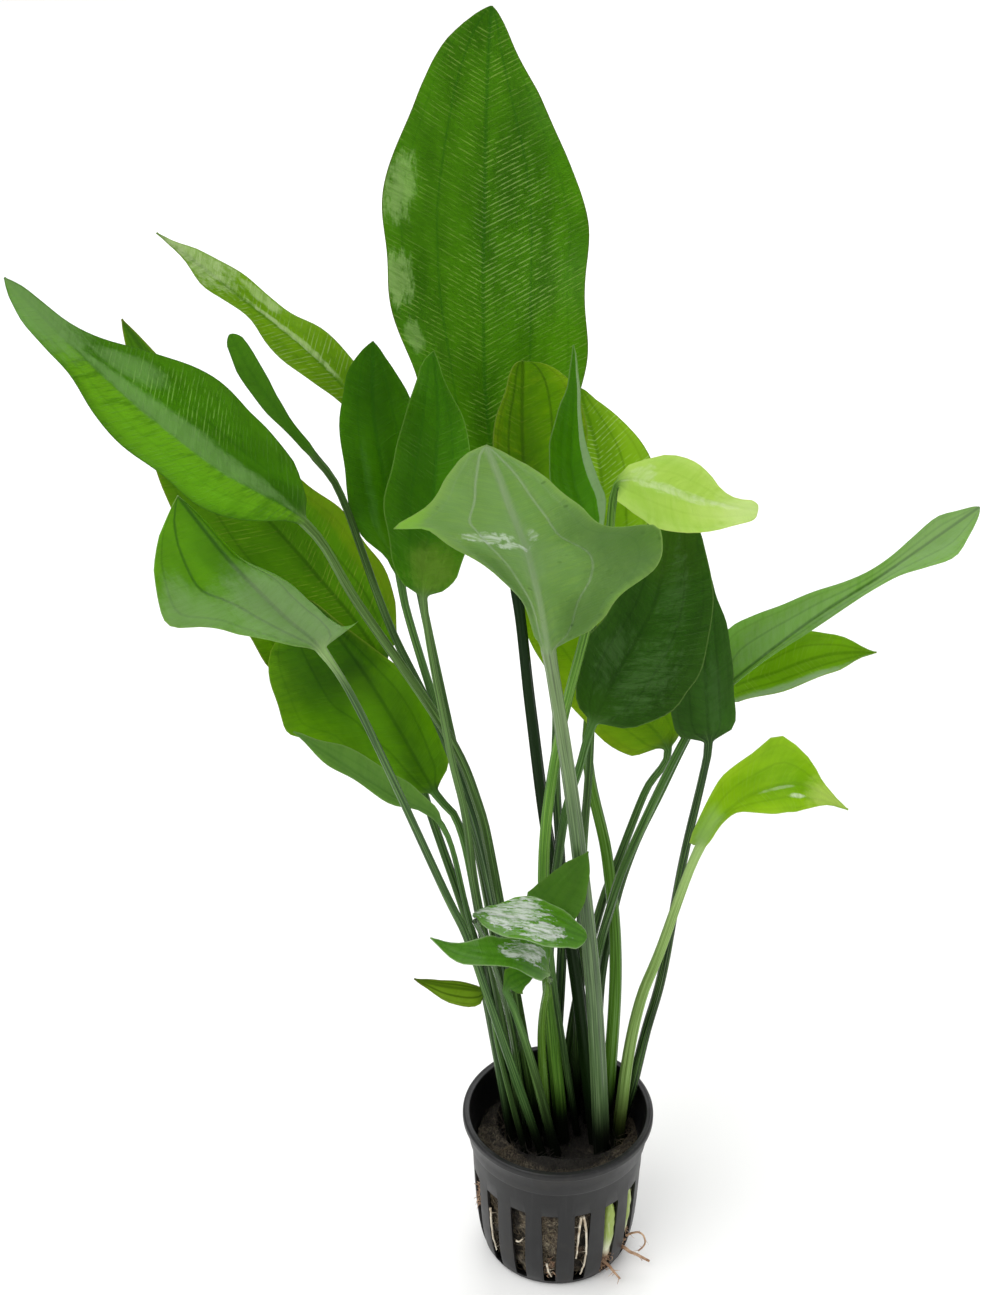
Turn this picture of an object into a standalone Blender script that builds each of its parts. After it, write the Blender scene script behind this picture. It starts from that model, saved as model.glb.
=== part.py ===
# Echinodorus plant in a slotted net pot.
# Long-stalked sword leaves rise from a plug of stone wool in a small round plastic pot.
# Frame: the origin is at the centre of the pot's underside, +Z up, the leaves' front towards -Y.
# Lengths below are millimetres; MM turns them into metres.

import math

import bmesh
import bpy
from mathutils import Vector

MM = 0.001

POT_HEIGHT = 50.0
RIM_RADIUS = 27.3
RIM_INNER = 24.8
BAND_RADIUS = 26.4
BAND_BOTTOM_RADIUS = 25.6
BASE_RADIUS = 20.6
BASE_BEVEL = 0.8
WALL = 0.9
FLOOR = 1.3
LIP_DROP = 2.2
BAND_BOTTOM = 40.2
# Below the band the wall swells like a barrel: height and outer radius, upwards.
WALL_PROFILE = ((0.0, BASE_RADIUS), (9.0, 22.8), (24.0, 23.9), (BAND_BOTTOM, 24.7))
POT_SEGMENTS = 40
SLOT_COUNT = 16
SLOT_TOP_WIDTH = 4.9
SLOT_BOTTOM_WIDTH = 3.3
SLOT_BOTTOM = 1.9
SLOT_TOP = 31.0
FIRST_SLOT_ANGLE = 16.5
DRAIN_COUNT = 6
DRAIN_WIDTH = 2.6
DRAIN_INNER = 6.5
DRAIN_OUTER = 14.0
# How deep the slots' cutter reaches, across the slanted wall, and the drains' beyond the floor.
SLOT_CUT_DEPTH = 10.0
CUT_BEYOND = 1.0

# The plug of stone wool: its top has a hollow in which the stalks stand.
WOOL_TOP = 38.4
WOOL_GAP = 0.4
WOOL_SEGMENTS = 32
PIT_FLOOR = 30.0
PIT_CENTRE = (2.4, 7.8)
PIT_RADII = (19.8, 15.2)
PIT_BORDER = 0.95
PIT_TAPER = 0.06
WOOL_LUMPS = (0.5, 0.35)

# Two side shoots lie between the plug and the wall, each in a groove of the plug.
SHOOT_ANGLES = (40.2, 62.8)
GROOVE_DEPTH = 5.0
GROOVE_WIDTH = 13.0
GROOVE_TOP = 33.5

# Height of the stalks' feet, just above the floor of the hollow.
FOOT = 31.5

# Each leaf is one grown piece, a stalk that runs on into its blade.
# stalk: centre line from the foot to the blade, x y z.  spine: the midrib on to the tip.
# left, right: half widths at 12, 30, 50, 70 and 88 % of the blade, seen on its upper side, tip up.
# face, tip_face: where the upper side looks, at the blade's base and at its tip.
# fold: how far the left and the right half are raised about the midrib, in degrees.
# lobe: how far the left and the right half reach back past the top of the stalk.
# growth: the power by which the blade widens from the stalk, low for a round base.
LEAVES = {
    "leaf_tall_back": dict(
        stalk=[(11.4, 5.6, FOOT), (4, 12, 95), (-3.5, 15, 135), (-8.6, 18.5, 176), (-12.5, 24, 210)],
        spine=[(-20, 42, 250), (-21, 60, 294), (-19, 80, 348)],
        left=(8.5, 15, 21, 26, 18), right=(14, 23, 26, 26, 13),
        face=(0.0, -0.9, 0.4), tip_face=(0.0, -0.9, 0.3), fold=(8, 8), lobe=(0, 0), growth=0.7,
        diameter=3.5),
    "leaf_far_left": dict(
        stalk=[(-4.9, 9.7, FOOT), (-18, 1, 132), (-23, -1, 161), (-31, -2, 184),
               (-52, -7, 226), (-64, -10, 251)],
        spine=[(-87, -8, 267), (-113, 0, 288), (-134, 8, 308)],
        left=(6, 12.5, 12, 6.5, 5.8), right=(11.3, 17.5, 16.5, 7.5, 3),
        face=(0.35, -0.5, 0.8), tip_face=(0.35, -0.5, 0.8), fold=(8, 10), lobe=(2, 2), growth=0.5,
        diameter=2.8),
    "leaf_upper_left": dict(
        stalk=[(-8.8, 16.8, FOOT), (-21, 19, 118), (-26, 18, 146), (-35, 19, 198),
               (-41, 22, 233), (-45, 24, 254)],
        spine=[(-62, 32, 273), (-82, 42, 286), (-103, 50, 300)],
        left=(3.5, 6, 5.8, 3.8, 1.5), right=(6, 6.8, 5, 5, 3),
        face=(0.3, -0.6, 0.7), tip_face=(0.3, -0.6, 0.7), fold=(10, 15), lobe=(0, 0), growth=0.7,
        diameter=2.5),
    "leaf_spoon": dict(
        stalk=[(-8.3, 12.2, FOOT), (-19, 6, 128), (-31, 4, 176), (-45, 5, 212),
               (-56, 6, 249), (-62, 6, 260)],
        spine=[(-70, 7, 271), (-76, 9, 280), (-82, 12, 291)],
        left=(1.4, 2, 3, 3.5, 2.8), right=(1.4, 2, 3, 3.5, 2.8),
        face=(0.5, -0.8, 0.2), tip_face=(0.5, -0.8, 0.2), fold=(10, 10), lobe=(0, 0), growth=1.0,
        diameter=2.3),
    "leaf_centre_left_rear": dict(
        stalk=[(-4.6, 14.3, FOOT), (-20, 11, 124), (-26, 9, 153), (-32, 8, 178),
               (-40, 7, 212), (-42, 6, 225)],
        spine=[(-45, 10, 246), (-48, 15, 266), (-48, 20, 285)],
        left=(3.5, 9, 9.5, 8.5, 6), right=(8, 10.5, 11.5, 10, 5.5),
        face=(0.2, -0.9, 0.3), tip_face=(0.2, -0.9, 0.3), fold=(6, 10), lobe=(0, 0), growth=0.6,
        diameter=2.5),
    "leaf_centre_left_front": dict(
        stalk=[(-8.8, 8, FOOT), (-17, 1, 90), (-23, -4, 131), (-26, -7, 161),
               (-30, -7, 183), (-36, -2, 224)],
        spine=[(-34, 1, 246), (-32, 7, 268), (-33, 13, 286)],
        left=(8, 11, 11, 8.5, 5), right=(9.5, 10.5, 10, 7, 3),
        face=(-0.2, -0.9, 0.3), tip_face=(-0.3, -0.9, 0.3), fold=(10, 10), lobe=(0, 1), growth=0.5,
        diameter=2.5),
    "leaf_front_large": dict(
        stalk=[(13.2, -0.2, FOOT), (9, -6, 100), (3, -12, 160), (-2, -18, 200), (-5, -22, 222)],
        spine=[(-9, -38, 254), (-15, -60, 286), (-20, -85, 315)],
        left=(15, 28, 19.5, 11.5, 6.5), right=(3.5, 8.5, 19, 16, 8),
        face=(0.0, 0.9, 0.3), tip_face=(0.0, 0.8, 0.6), fold=(5, 5), lobe=(0, 0), growth=1.0,
        diameter=3.7),
    "leaf_left_rear": dict(
        stalk=[(-12.8, 6.8, FOOT), (-22, 8, 95), (-27, 10, 116), (-33, 13, 136),
               (-37, 15, 150), (-47, 18, 191)],
        spine=[(-66, 25, 216), (-88, 32, 244), (-112, 40, 281)],
        left=(23, 23, 22, 16, 8), right=(11, 15.5, 14, 11, 4),
        face=(0.2, -0.9, 0.3), tip_face=(0.2, -0.9, 0.3), fold=(4, 4), lobe=(0, 0), growth=0.5,
        diameter=2.5),
    "leaf_left_front": dict(
        stalk=[(-4, -1.2, FOOT), (-19, -7, 94), (-25.5, -13.3, 124), (-31.5, -17.7, 144),
               (-50, -34, 210), (-59, -40, 234)],
        spine=[(-66, -44, 245), (-73, -47, 256), (-80, -52, 269), (-88, -58, 287)],
        left=(4, 8, 13, 20, 14), right=(12, 13.3, 13.5, 5.5, 3),
        face=(0.3, -0.9, 0.3), tip_face=(0.3, -0.9, 0.3), fold=(8, 60), lobe=(0, 2), growth=0.3,
        diameter=2.6),
    "leaf_left_low": dict(
        stalk=[(-12.4, 12.9, FOOT), (-23, 12, 115), (-28, 12, 143), (-34, 12, 153)],
        spine=[(-43, 12, 173), (-53, 13, 193), (-66, 15, 213)],
        left=(6.5, 11.5, 19.5, 24, 19), right=(6.8, 10.3, 10.8, 6, 2.5),
        face=(0.2, -0.9, 0.4), tip_face=(0.2, -0.9, 0.4), fold=(5, 5), lobe=(0, 2), growth=0.6,
        diameter=2.6),
    "leaf_left_low_narrow": dict(
        stalk=[(-12.9, 2.2, FOOT), (-21, 2, 94), (-26, -3, 127), (-32, -7, 157)],
        spine=[(-45, -7, 167), (-58, -6, 177), (-70, -4, 185)],
        left=(1.5, 2, 2.5, 2.5, 1.5), right=(3, 5, 5, 3.5, 1.5),
        face=(0.3, -0.9, -0.2), tip_face=(0.3, -0.9, 0.0), fold=(5, 5), lobe=(0, 0), growth=0.8,
        diameter=1.8),
    "leaf_centre_rear_folded": dict(
        stalk=[(-1.3, 16.6, FOOT), (1, 20, 100), (-1.5, 23, 150), (-2, 20.5, 178), (-6.5, 18.5, 208)],
        spine=[(-9, 21.5, 232), (-11, 26, 253.5), (-11.3, 30, 274.4)],
        left=(5, 7, 8, 7.5, 4.5), right=(8, 12, 15, 16.3, 14),
        face=(-0.1, -0.9, 0.4), tip_face=(-0.1, -0.9, 0.4), fold=(6, 6), lobe=(0, 0), growth=0.6,
        diameter=2.6),
    "leaf_centre_narrow": dict(
        stalk=[(6, 17.7, FOOT), (6, 16, 95), (6, 13, 133), (7, 10, 166), (7, 9, 205), (6, 8, 235)],
        spine=[(1, 10, 254), (1, 14, 268), (1, 20, 284)],
        left=(4, 6, 6, 4, 2), right=(6, 9, 5.5, 3, 1.5),
        face=(-0.3, -0.9, 0.2), tip_face=(-0.3, -0.9, 0.2), fold=(10, 25), lobe=(0, 0), growth=0.7,
        diameter=2.3),
    "leaf_right_rear": dict(
        stalk=[(14.2, 10.1, FOOT), (16, 13, 89), (13, 18, 126), (7, 26, 159), (12, 34, 201)],
        spine=[(11, 40, 219), (9, 46, 237), (4, 52, 255)],
        left=(8, 12, 12, 11.5, 8), right=(8, 12, 13.5, 12, 6),
        face=(0.1, -0.9, 0.4), tip_face=(0.1, -0.9, 0.4), fold=(6, 6), lobe=(0, 0), growth=0.6,
        diameter=2.8),
    "leaf_pale": dict(
        stalk=[(1.7, 6.5, FOOT), (-3, 3, 92), (-5, -2, 142), (-2, -6, 182), (4, -9, 217),
               (9, -12, 242), (11, -14, 264)],
        spine=[(20, -17, 266), (30, -20, 264), (44, -22, 262)],
        left=(4, 8, 8.5, 6.5, 2.5), right=(7.5, 10, 11, 9, 5.5),
        face=(-0.2, -0.5, 0.85), tip_face=(0.0, -0.5, 0.85), fold=(5, 5), lobe=(5, 8), growth=0.45,
        diameter=2.5),
    "leaf_right_dark": dict(
        stalk=[(-0.7, 12.3, FOOT), (-3, 10, 97), (0, 5, 147), (4, 1, 170), (7, -2, 186)],
        spine=[(14, 0, 203), (22, 4, 220), (27, 13, 246)],
        left=(7, 11, 10.3, 9, 6.5), right=(11.5, 18, 18.3, 15, 9.3),
        face=(-0.1, -0.9, 0.3), tip_face=(0.0, -0.9, 0.3), fold=(5, 5), lobe=(2, 2), growth=0.4,
        diameter=2.6),
    "leaf_right_dark_rear": dict(
        stalk=[(17.2, 7, FOOT), (21.2, 7, 50),
               (25, 10, 70), (29, 10, 92), (33, 8, 133), (37, 7, 162), (38, 6, 174)],
        spine=[(37, 10, 188), (36, 16, 204), (37, 20, 219)],
        left=(9, 10, 10, 7.5, 4), right=(7, 7.5, 7.5, 6, 2.5),
        face=(0.2, -0.9, 0.3), tip_face=(0.2, -0.9, 0.3), fold=(5, 5), lobe=(2, 2), growth=0.35,
        diameter=2.6),
    "leaf_right_under": dict(
        stalk=[(2, 19.8, FOOT), (5, 20.5, 69), (11.5, 22, 105), (17, 22.5, 125), (23, 20.5, 148),
               (28.2, 16, 165)],
        spine=[(17, 19, 179), (3.6, 27, 196), (-11, 35, 215.3)],
        left=(9, 12, 12.7, 12, 9), right=(9, 14, 15, 13, 8),
        face=(0.0, -0.9, 0.4), tip_face=(0.0, -0.9, 0.4), fold=(3, 3), lobe=(0, 2), growth=0.35,
        diameter=2.5),
    "leaf_far_right": dict(
        stalk=[(9.2, 14.2, FOOT), (9.5, 14.5, 83), (14, 9, 118), (19, 11, 135),
               (32.5, 12, 172), (41.7, 15, 185)],
        spine=[(63, 18, 204), (83, 19, 219), (105, 20, 238)],
        left=(12.5, 9, 5, 4, 4.5), right=(3, 3, 3.5, 5, 9),
        face=(-0.35, -0.35, 0.87), tip_face=(-0.35, -0.35, 0.87), fold=(10, 15), lobe=(0, 0),
        growth=0.7, diameter=2.6),
    "leaf_far_right_under": dict(
        stalk=[(12.9, 15.6, FOOT), (12, 19.3, 73), (15, 18.9, 105), (19.5, 19.5, 126), (26, 19.5, 145),
               (40, 25, 174)],
        spine=[(58, 24, 185), (71, 24, 190), (83, 24, 191)],
        left=(6, 8, 9, 5.5, 2), right=(5.5, 6, 6.5, 5, 2),
        face=(-0.25, -0.5, 0.8), tip_face=(-0.25, -0.5, 0.8), fold=(5, 5), lobe=(0, 0), growth=0.7,
        diameter=2.3),
    "leaf_right_low": dict(
        stalk=[(17.4, 2.6, FOOT), (19.6, 2.6, 66), (22.6, 2, 89), (27.2, 1, 107), (36.5, 0, 144)],
        spine=[(46, -3, 162), (60, -6, 170), (74, -8, 163)],
        left=(6, 8.5, 10, 8, 2), right=(2, 3, 7, 8, 2.5),
        face=(-0.4, -0.6, 0.7), tip_face=(0.3, -0.6, 0.8), fold=(5, 5), lobe=(8, 0), growth=0.3,
        diameter=3.2),
    "leaf_small_upright": dict(
        stalk=[(6, 8.9, FOOT), (-1, -1, 91), (-3, -5, 113), (-5, -9, 128)],
        spine=[(-1, -13, 140), (3, -15, 148), (6, -17, 156)],
        left=(6, 5.5, 4.5, 3.5, 1.5), right=(7, 7.5, 6.5, 4, 1.5),
        face=(-0.2, -0.9, 0.3), tip_face=(-0.2, -0.9, 0.3), fold=(5, 5), lobe=(0, 0), growth=0.6,
        diameter=1.8),
    "leaf_small_wet": dict(
        stalk=[(-8.1, 3.1, FOOT), (-13, 0, 76), (-17, -4, 101), (-21, -9, 120), (-23.5, -14, 132.5)],
        spine=[(-14, -18, 135), (-4, -22, 136), (6, -24, 133)],
        left=(3, 6.5, 8, 6, 4), right=(3, 5.5, 6, 6, 4.5),
        face=(0.0, -0.4, 0.9), tip_face=(0.1, -0.4, 0.9), fold=(-8, -8), lobe=(1, 1), growth=0.6,
        diameter=1.8),
    "leaf_small_pointed": dict(
        stalk=[(-2.5, 4.9, FOOT), (-5, 0, 76), (-4, -9, 102), (-4, -14, 112)],
        spine=[(-11, -18, 121), (-22, -22, 126), (-35, -24, 133)],
        left=(3.5, 4, 3.5, 3.5, 3), right=(8.5, 6.5, 5, 4, 1),
        face=(0.0, -0.5, 0.85), tip_face=(0.0, -0.5, 0.85), fold=(5, 5), lobe=(5, 2), growth=0.6,
        diameter=1.9),
    "leaf_small_left": dict(
        stalk=[(-8.6, -2.6, FOOT), (-17, -1, 73), (-19, -1.5, 90), (-20, -2, 95)],
        spine=[(-26, -5, 99), (-33, -8, 103), (-40, -10, 107)],
        left=(3, 4.5, 4.5, 3, 1), right=(2, 2, 2, 2, 1),
        face=(0.1, -0.5, 0.85), tip_face=(0.1, -0.5, 0.85), fold=(10, 10), lobe=(0, 0), growth=0.6,
        diameter=1.6),
    "leaf_small_hidden": dict(
        stalk=[(-0.2, -0.2, FOOT), (-8, -4, 72), (-13, -7, 94), (-15, -8, 101)],
        spine=[(-13, -10, 106), (-11, -11, 108), (-8, -12, 109)],
        left=(2, 4, 4, 3, 1.5), right=(2, 4, 4, 3, 1.5),
        face=(0.1, -0.7, 0.7), tip_face=(0.1, -0.7, 0.7), fold=(5, 5), lobe=(0, 0), growth=0.6,
        diameter=1.6),
}

BLADE_STATIONS = (0.03, 0.10, 0.20, 0.34, 0.50, 0.66, 0.80, 0.91, 1.0)
SMALL_STATIONS = (0.05, 0.20, 0.45, 0.70, 0.90, 1.0)
SMALL_LEAF = 52.0
WIDTH_PLACES = (0.12, 0.30, 0.50, 0.70, 0.88)
BLADE_THICKNESS = 0.9
TIP_THINNING = 0.5
TIP_HALF_WIDTH = 0.35
TIP_TAPER = 0.8
# The width that the curve through the given widths makes for before the first and after the last.
BEFORE_FIRST = 0.6
AFTER_LAST = 0.2
RING_POINTS = 8
# Each half of a blade bends at this share of its width: less than the fold inside it, more outside.
BEND_SHARE = 0.52
INNER_BEND = 0.7
OUTER_BEND = 1.3
# How much of a lobe's reach its middle takes, and the share of the blade in which it fades.
LOBE_MIDDLE = 0.35
LOBE_FADE = 0.10
# A stalk's radius at its foot, against half its diameter, and how much of that it loses to the top.
STALK_FOOT = 1.25
STALK_TAPER = 0.42
# The midrib under the blade: its radius against the stalk's, its least depth, how fast it runs out.
RIB_RADIUS = 0.85
RIB_LEAST = 0.15
RIB_TAPER = 0.7

# Side shoots, upwards: height, how far the centre lies inside the wall's outer face, radius.
SHOOTS = {
    "side_shoot_front": [(6.8, 2.4, 1.0), (10.0, 3.1, 1.7), (17.0, 2.6, 2.0), (24.0, 2.3, 2.0),
                         (27.5, 2.2, 1.6), (29.6, 1.8, 0.7)],
    "side_shoot_right": [(8.2, 2.2, 0.7), (12.0, 2.1, 1.3), (19.0, 1.8, 1.4), (25.0, 1.7, 1.4),
                         (28.0, 1.7, 1.0), (29.6, 1.5, 0.5)],
}

# Roots that lie in the slots: angle from the front in degrees and height, and the radius.
SLOT_ROOTS = {
    "root_fork_left": ([(14.8, 29.6), (14.3, 20.0), (13.7, 12.4)], 0.42),
    "root_fork_right": ([(18.0, 29.6), (19.4, 21.5), (19.9, 15.0), (19.2, 9.0), (17.4, 4.2)], 0.42),
    "root_far_left": ([(-54.4, 22.5), (-54.2, 14.0), (-52.6, 6.5)], 0.42),
    "root_across": ([(-31.2, 17.0), (-28.4, 17.4), (-26.0, 19.0)], 0.42),
    "root_low": ([(-8.2, 10.0), (-6.8, 7.0), (-4.6, 4.2)], 0.45),
}
SLOT_ROOT_INSET = 0.48

# Roots that come out of the slots: points x y z, and the radius.
LOOSE_ROOTS = {
    "root_curl": ([(20.3, -10.4, 9.6), (22.0, -10.7, 10.8), (23.8, -10.9, 11.4), (25.5, -11.8, 10.0),
                   (25.4, -12.4, 7.6), (23.9, -12.9, 6.0)], 0.45),
    "root_thick": ([(18.3, -10.5, 5.6), (20.3, -11.9, 5.8), (22.8, -13.2, 5.0), (27.0, -14.4, 3.0)], 0.75),
    "root_short": ([(13.5, -15.5, 4.4), (15.1, -17.2, 4.2), (16.6, -18.7, 3.2), (18.2, -19.6, 1.4)], 0.5),
}
ROOT_SIDES = 5
ROOT_STEPS = 2
ROOT_TAPER = 0.4

LEAF_GREEN = (0.062, 0.230, 0.020)
PALE_GREEN = (0.300, 0.520, 0.050)
PALE_LEAVES = ("leaf_pale", "leaf_right_low")
SHOOT_GREEN = (0.270, 0.420, 0.110)
POT_BLACK = (0.022, 0.022, 0.024)
WOOL_BROWN = (0.120, 0.085, 0.052)
ROOT_CREAM = (0.620, 0.560, 0.430)
ROOT_TAN = (0.380, 0.220, 0.110)


def clear_scene():
    for item in list(bpy.data.objects):
        bpy.data.objects.remove(item, do_unlink=True)


def make_material(name, colour, roughness, metallic=0.0):
    material = bpy.data.materials.new(name)
    material.use_nodes = True
    shader = material.node_tree.nodes["Principled BSDF"]
    shader.inputs["Base Color"].default_value = (*colour, 1.0)
    shader.inputs["Roughness"].default_value = roughness
    shader.inputs["Metallic"].default_value = metallic
    return material


def add_object(name, mesh, material, smooth_angle=40.0):
    mesh.materials.append(material)
    mesh.shade_smooth()
    mesh.set_sharp_from_angle(angle=math.radians(smooth_angle))
    item = bpy.data.objects.new(name, mesh)
    bpy.context.scene.collection.objects.link(item)
    return item


def finish_mesh(name, bm):
    bmesh.ops.recalc_face_normals(bm, faces=bm.faces[:])
    mesh = bpy.data.meshes.new(name)
    bm.to_mesh(mesh)
    bm.free()
    return mesh


def rings_to_mesh(name, rings):
    """Skin a list of closed rings, one after the other, and close both ends."""
    bm = bmesh.new()
    loops = [[bm.verts.new(point * MM) for point in ring] for ring in rings]
    count = len(loops[0])
    for lower, upper in zip(loops, loops[1:]):
        for k in range(count):
            after = (k + 1) % count
            bm.faces.new((lower[k], lower[after], upper[after], upper[k]))
    bm.faces.new(loops[0][::-1])
    bm.faces.new(loops[-1])
    bmesh.ops.triangulate(bm, faces=bm.faces[:])
    return finish_mesh(name, bm)


def curve_point(points, place):
    """A smooth curve through the points; place runs from 0 to the last index."""
    last = len(points) - 1
    k = min(int(place), last - 1)
    u = place - k
    b, c = points[k], points[k + 1]
    a = points[k - 1] if k > 0 else b * 2 - c
    d = points[k + 2] if k + 2 <= last else c * 2 - b
    return smooth_between(a, b, c, d, u)


def smooth_between(a, b, c, d, u):
    """Between b and c at u, on a smooth curve that also goes through a and d."""
    return 0.5 * (2 * b + (c - a) * u + (2 * a - 5 * b + 4 * c - d) * u ** 2
                  + (3 * b - a - 3 * c + d) * u ** 3)


def curve_tangent(points, place):
    step = 0.02
    low = max(0.0, place - step)
    high = min(len(points) - 1.0, place + step)
    return (curve_point(points, high) - curve_point(points, low)).normalized()


def circle_ring(centre, across, upper, radius, count):
    ring = []
    for k in range(count):
        angle = 2 * math.pi * k / count
        ring.append(centre + (across * math.cos(angle) + upper * math.sin(angle)) * radius)
    return ring


def half_width(widths, place, growth, root):
    """Half the blade's width: it widens from the stalk and narrows to the tip."""
    first, last = WIDTH_PLACES[0], WIDTH_PLACES[-1]
    if place < first:
        return max(root, widths[0] * (place / first) ** growth)
    if place > last:
        return max(TIP_HALF_WIDTH, widths[-1] * ((1 - place) / (1 - last)) ** TIP_TAPER)
    final = len(WIDTH_PLACES) - 2
    k = max(i for i in range(final + 1) if place >= WIDTH_PLACES[i])
    u = (place - WIDTH_PLACES[k]) / (WIDTH_PLACES[k + 1] - WIDTH_PLACES[k])
    before = widths[k - 1] if k > 0 else widths[0] * BEFORE_FIRST
    after = widths[k + 2] if k < final else widths[-1] * AFTER_LAST
    return smooth_between(before, widths[k], widths[k + 1], after, u)


def leaf_frame(leaf, points, place, along):
    """Centre, tangent, upper side and right side of the leaf at one place."""
    centre = curve_point(points, place)
    tangent = curve_tangent(points, place)
    facing = Vector(leaf["face"]).lerp(Vector(leaf["tip_face"]), max(0.0, along))
    upper = (facing - tangent * facing.dot(tangent)).normalized()
    return centre, tangent, upper, tangent.cross(upper)


def blade_ring(leaf, frame, along, radius):
    """Margins at points 0 and 4, the upper side between them at 1 to 3, the midrib below at 6."""
    centre, tangent, upper, side = frame
    ring = [None] * RING_POINTS
    half_skin = BLADE_THICKNESS / 2 * (1 - TIP_THINNING * along)
    rib = radius * (1 - along) ** RIB_TAPER + RIB_LEAST
    ring[2] = centre + upper * half_skin
    ring[6] = centre - upper * (half_skin + rib)
    for sign, key, margin, above, below in ((1, 1, 0, 1, 7), (-1, 0, 4, 3, 5)):
        width = half_width(leaf["right" if key else "left"], along, leaf["growth"], radius)
        bend = math.radians(leaf["fold"][key])
        back = leaf["lobe"][key] * math.exp(-along / LOBE_FADE)
        inner = side * (sign * math.cos(bend * INNER_BEND)) + upper * math.sin(bend * INNER_BEND)
        outer = side * (sign * math.cos(bend * OUTER_BEND)) + upper * math.sin(bend * OUTER_BEND)
        bent = centre + inner * (width * BEND_SHARE)
        middle = bent - tangent * (back * LOBE_MIDDLE)
        edge = bent + outer * (width * (1 - BEND_SHARE)) - tangent * back
        ring[margin] = edge
        ring[above] = middle + upper * half_skin
        ring[below] = middle - upper * half_skin
    return ring


def leaf_mesh(name, leaf):
    stalk = [Vector(point) for point in leaf["stalk"]]
    points = stalk + [Vector(point) for point in leaf["spine"]]
    joint = len(stalk) - 1
    radius = leaf["diameter"] / 2
    length = sum((b - a).length for a, b in zip(points[joint:], points[joint + 1:]))
    rings = []
    steps = joint * 2 - 1
    for k in range(steps + 1):
        place = joint * k / (steps + 0.5)
        centre, tangent, upper, side = leaf_frame(leaf, points, place, 0.0)
        thickness = radius * (STALK_FOOT - STALK_TAPER * place / joint)
        rings.append(circle_ring(centre, side, upper, thickness, RING_POINTS))
    for along in (SMALL_STATIONS if length < SMALL_LEAF else BLADE_STATIONS):
        place = joint + along * (len(points) - 1 - joint)
        frame = leaf_frame(leaf, points, place, along)
        rings.append(blade_ring(leaf, frame, along, radius * RIB_RADIUS))
    return rings_to_mesh(name, rings)


def turned_mesh(name, outline, segments):
    """Turn a closed outline of (radius, height) about Z; radius 0 is a point on the axis."""
    bm = bmesh.new()
    columns = []
    for k in range(segments):
        angle = 2 * math.pi * k / segments
        column = []
        for radius, height in outline:
            if radius == 0.0 and k > 0:
                column.append(columns[0][len(column)])
                continue
            spot = Vector((radius * math.cos(angle), radius * math.sin(angle), height))
            column.append(bm.verts.new(spot * MM))
        columns.append(column)
    for k in range(segments):
        here, after = columns[k], columns[(k + 1) % segments]
        for j in range(len(outline) - 1):
            corners = []
            for vert in (here[j], after[j], after[j + 1], here[j + 1]):
                if vert not in corners:
                    corners.append(vert)
            bm.faces.new(corners)
    return finish_mesh(name, bm)


def outer_radius(height):
    """The pot wall's outer radius below its rim band."""
    for (low, inner), (high, outer) in zip(WALL_PROFILE, WALL_PROFILE[1:]):
        if height <= high:
            break
    return inner + (outer - inner) * (height - low) / (high - low)


def slot_direction(degrees):
    """Unit vector outwards at an angle turned from the front towards +X."""
    angle = math.radians(degrees)
    return Vector((math.sin(angle), -math.cos(angle), 0.0))


def box_cutter(bm, centre, outward, depth, low, high):
    """A box through the wall; low and high are each (height, width) of its ends."""
    side = Vector((-outward.y, outward.x, 0.0))
    corners = []
    for height, width in (low, high):
        for a, b in ((-1, -1), (1, -1), (1, 1), (-1, 1)):
            spot = centre + outward * (a * depth / 2) + side * (b * width / 2)
            corners.append(bm.verts.new(Vector((spot.x, spot.y, height)) * MM))
    for face in ((0, 3, 2, 1), (4, 5, 6, 7), (0, 1, 5, 4), (1, 2, 6, 5), (2, 3, 7, 6), (3, 0, 4, 7)):
        bm.faces.new([corners[k] for k in face])


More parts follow.
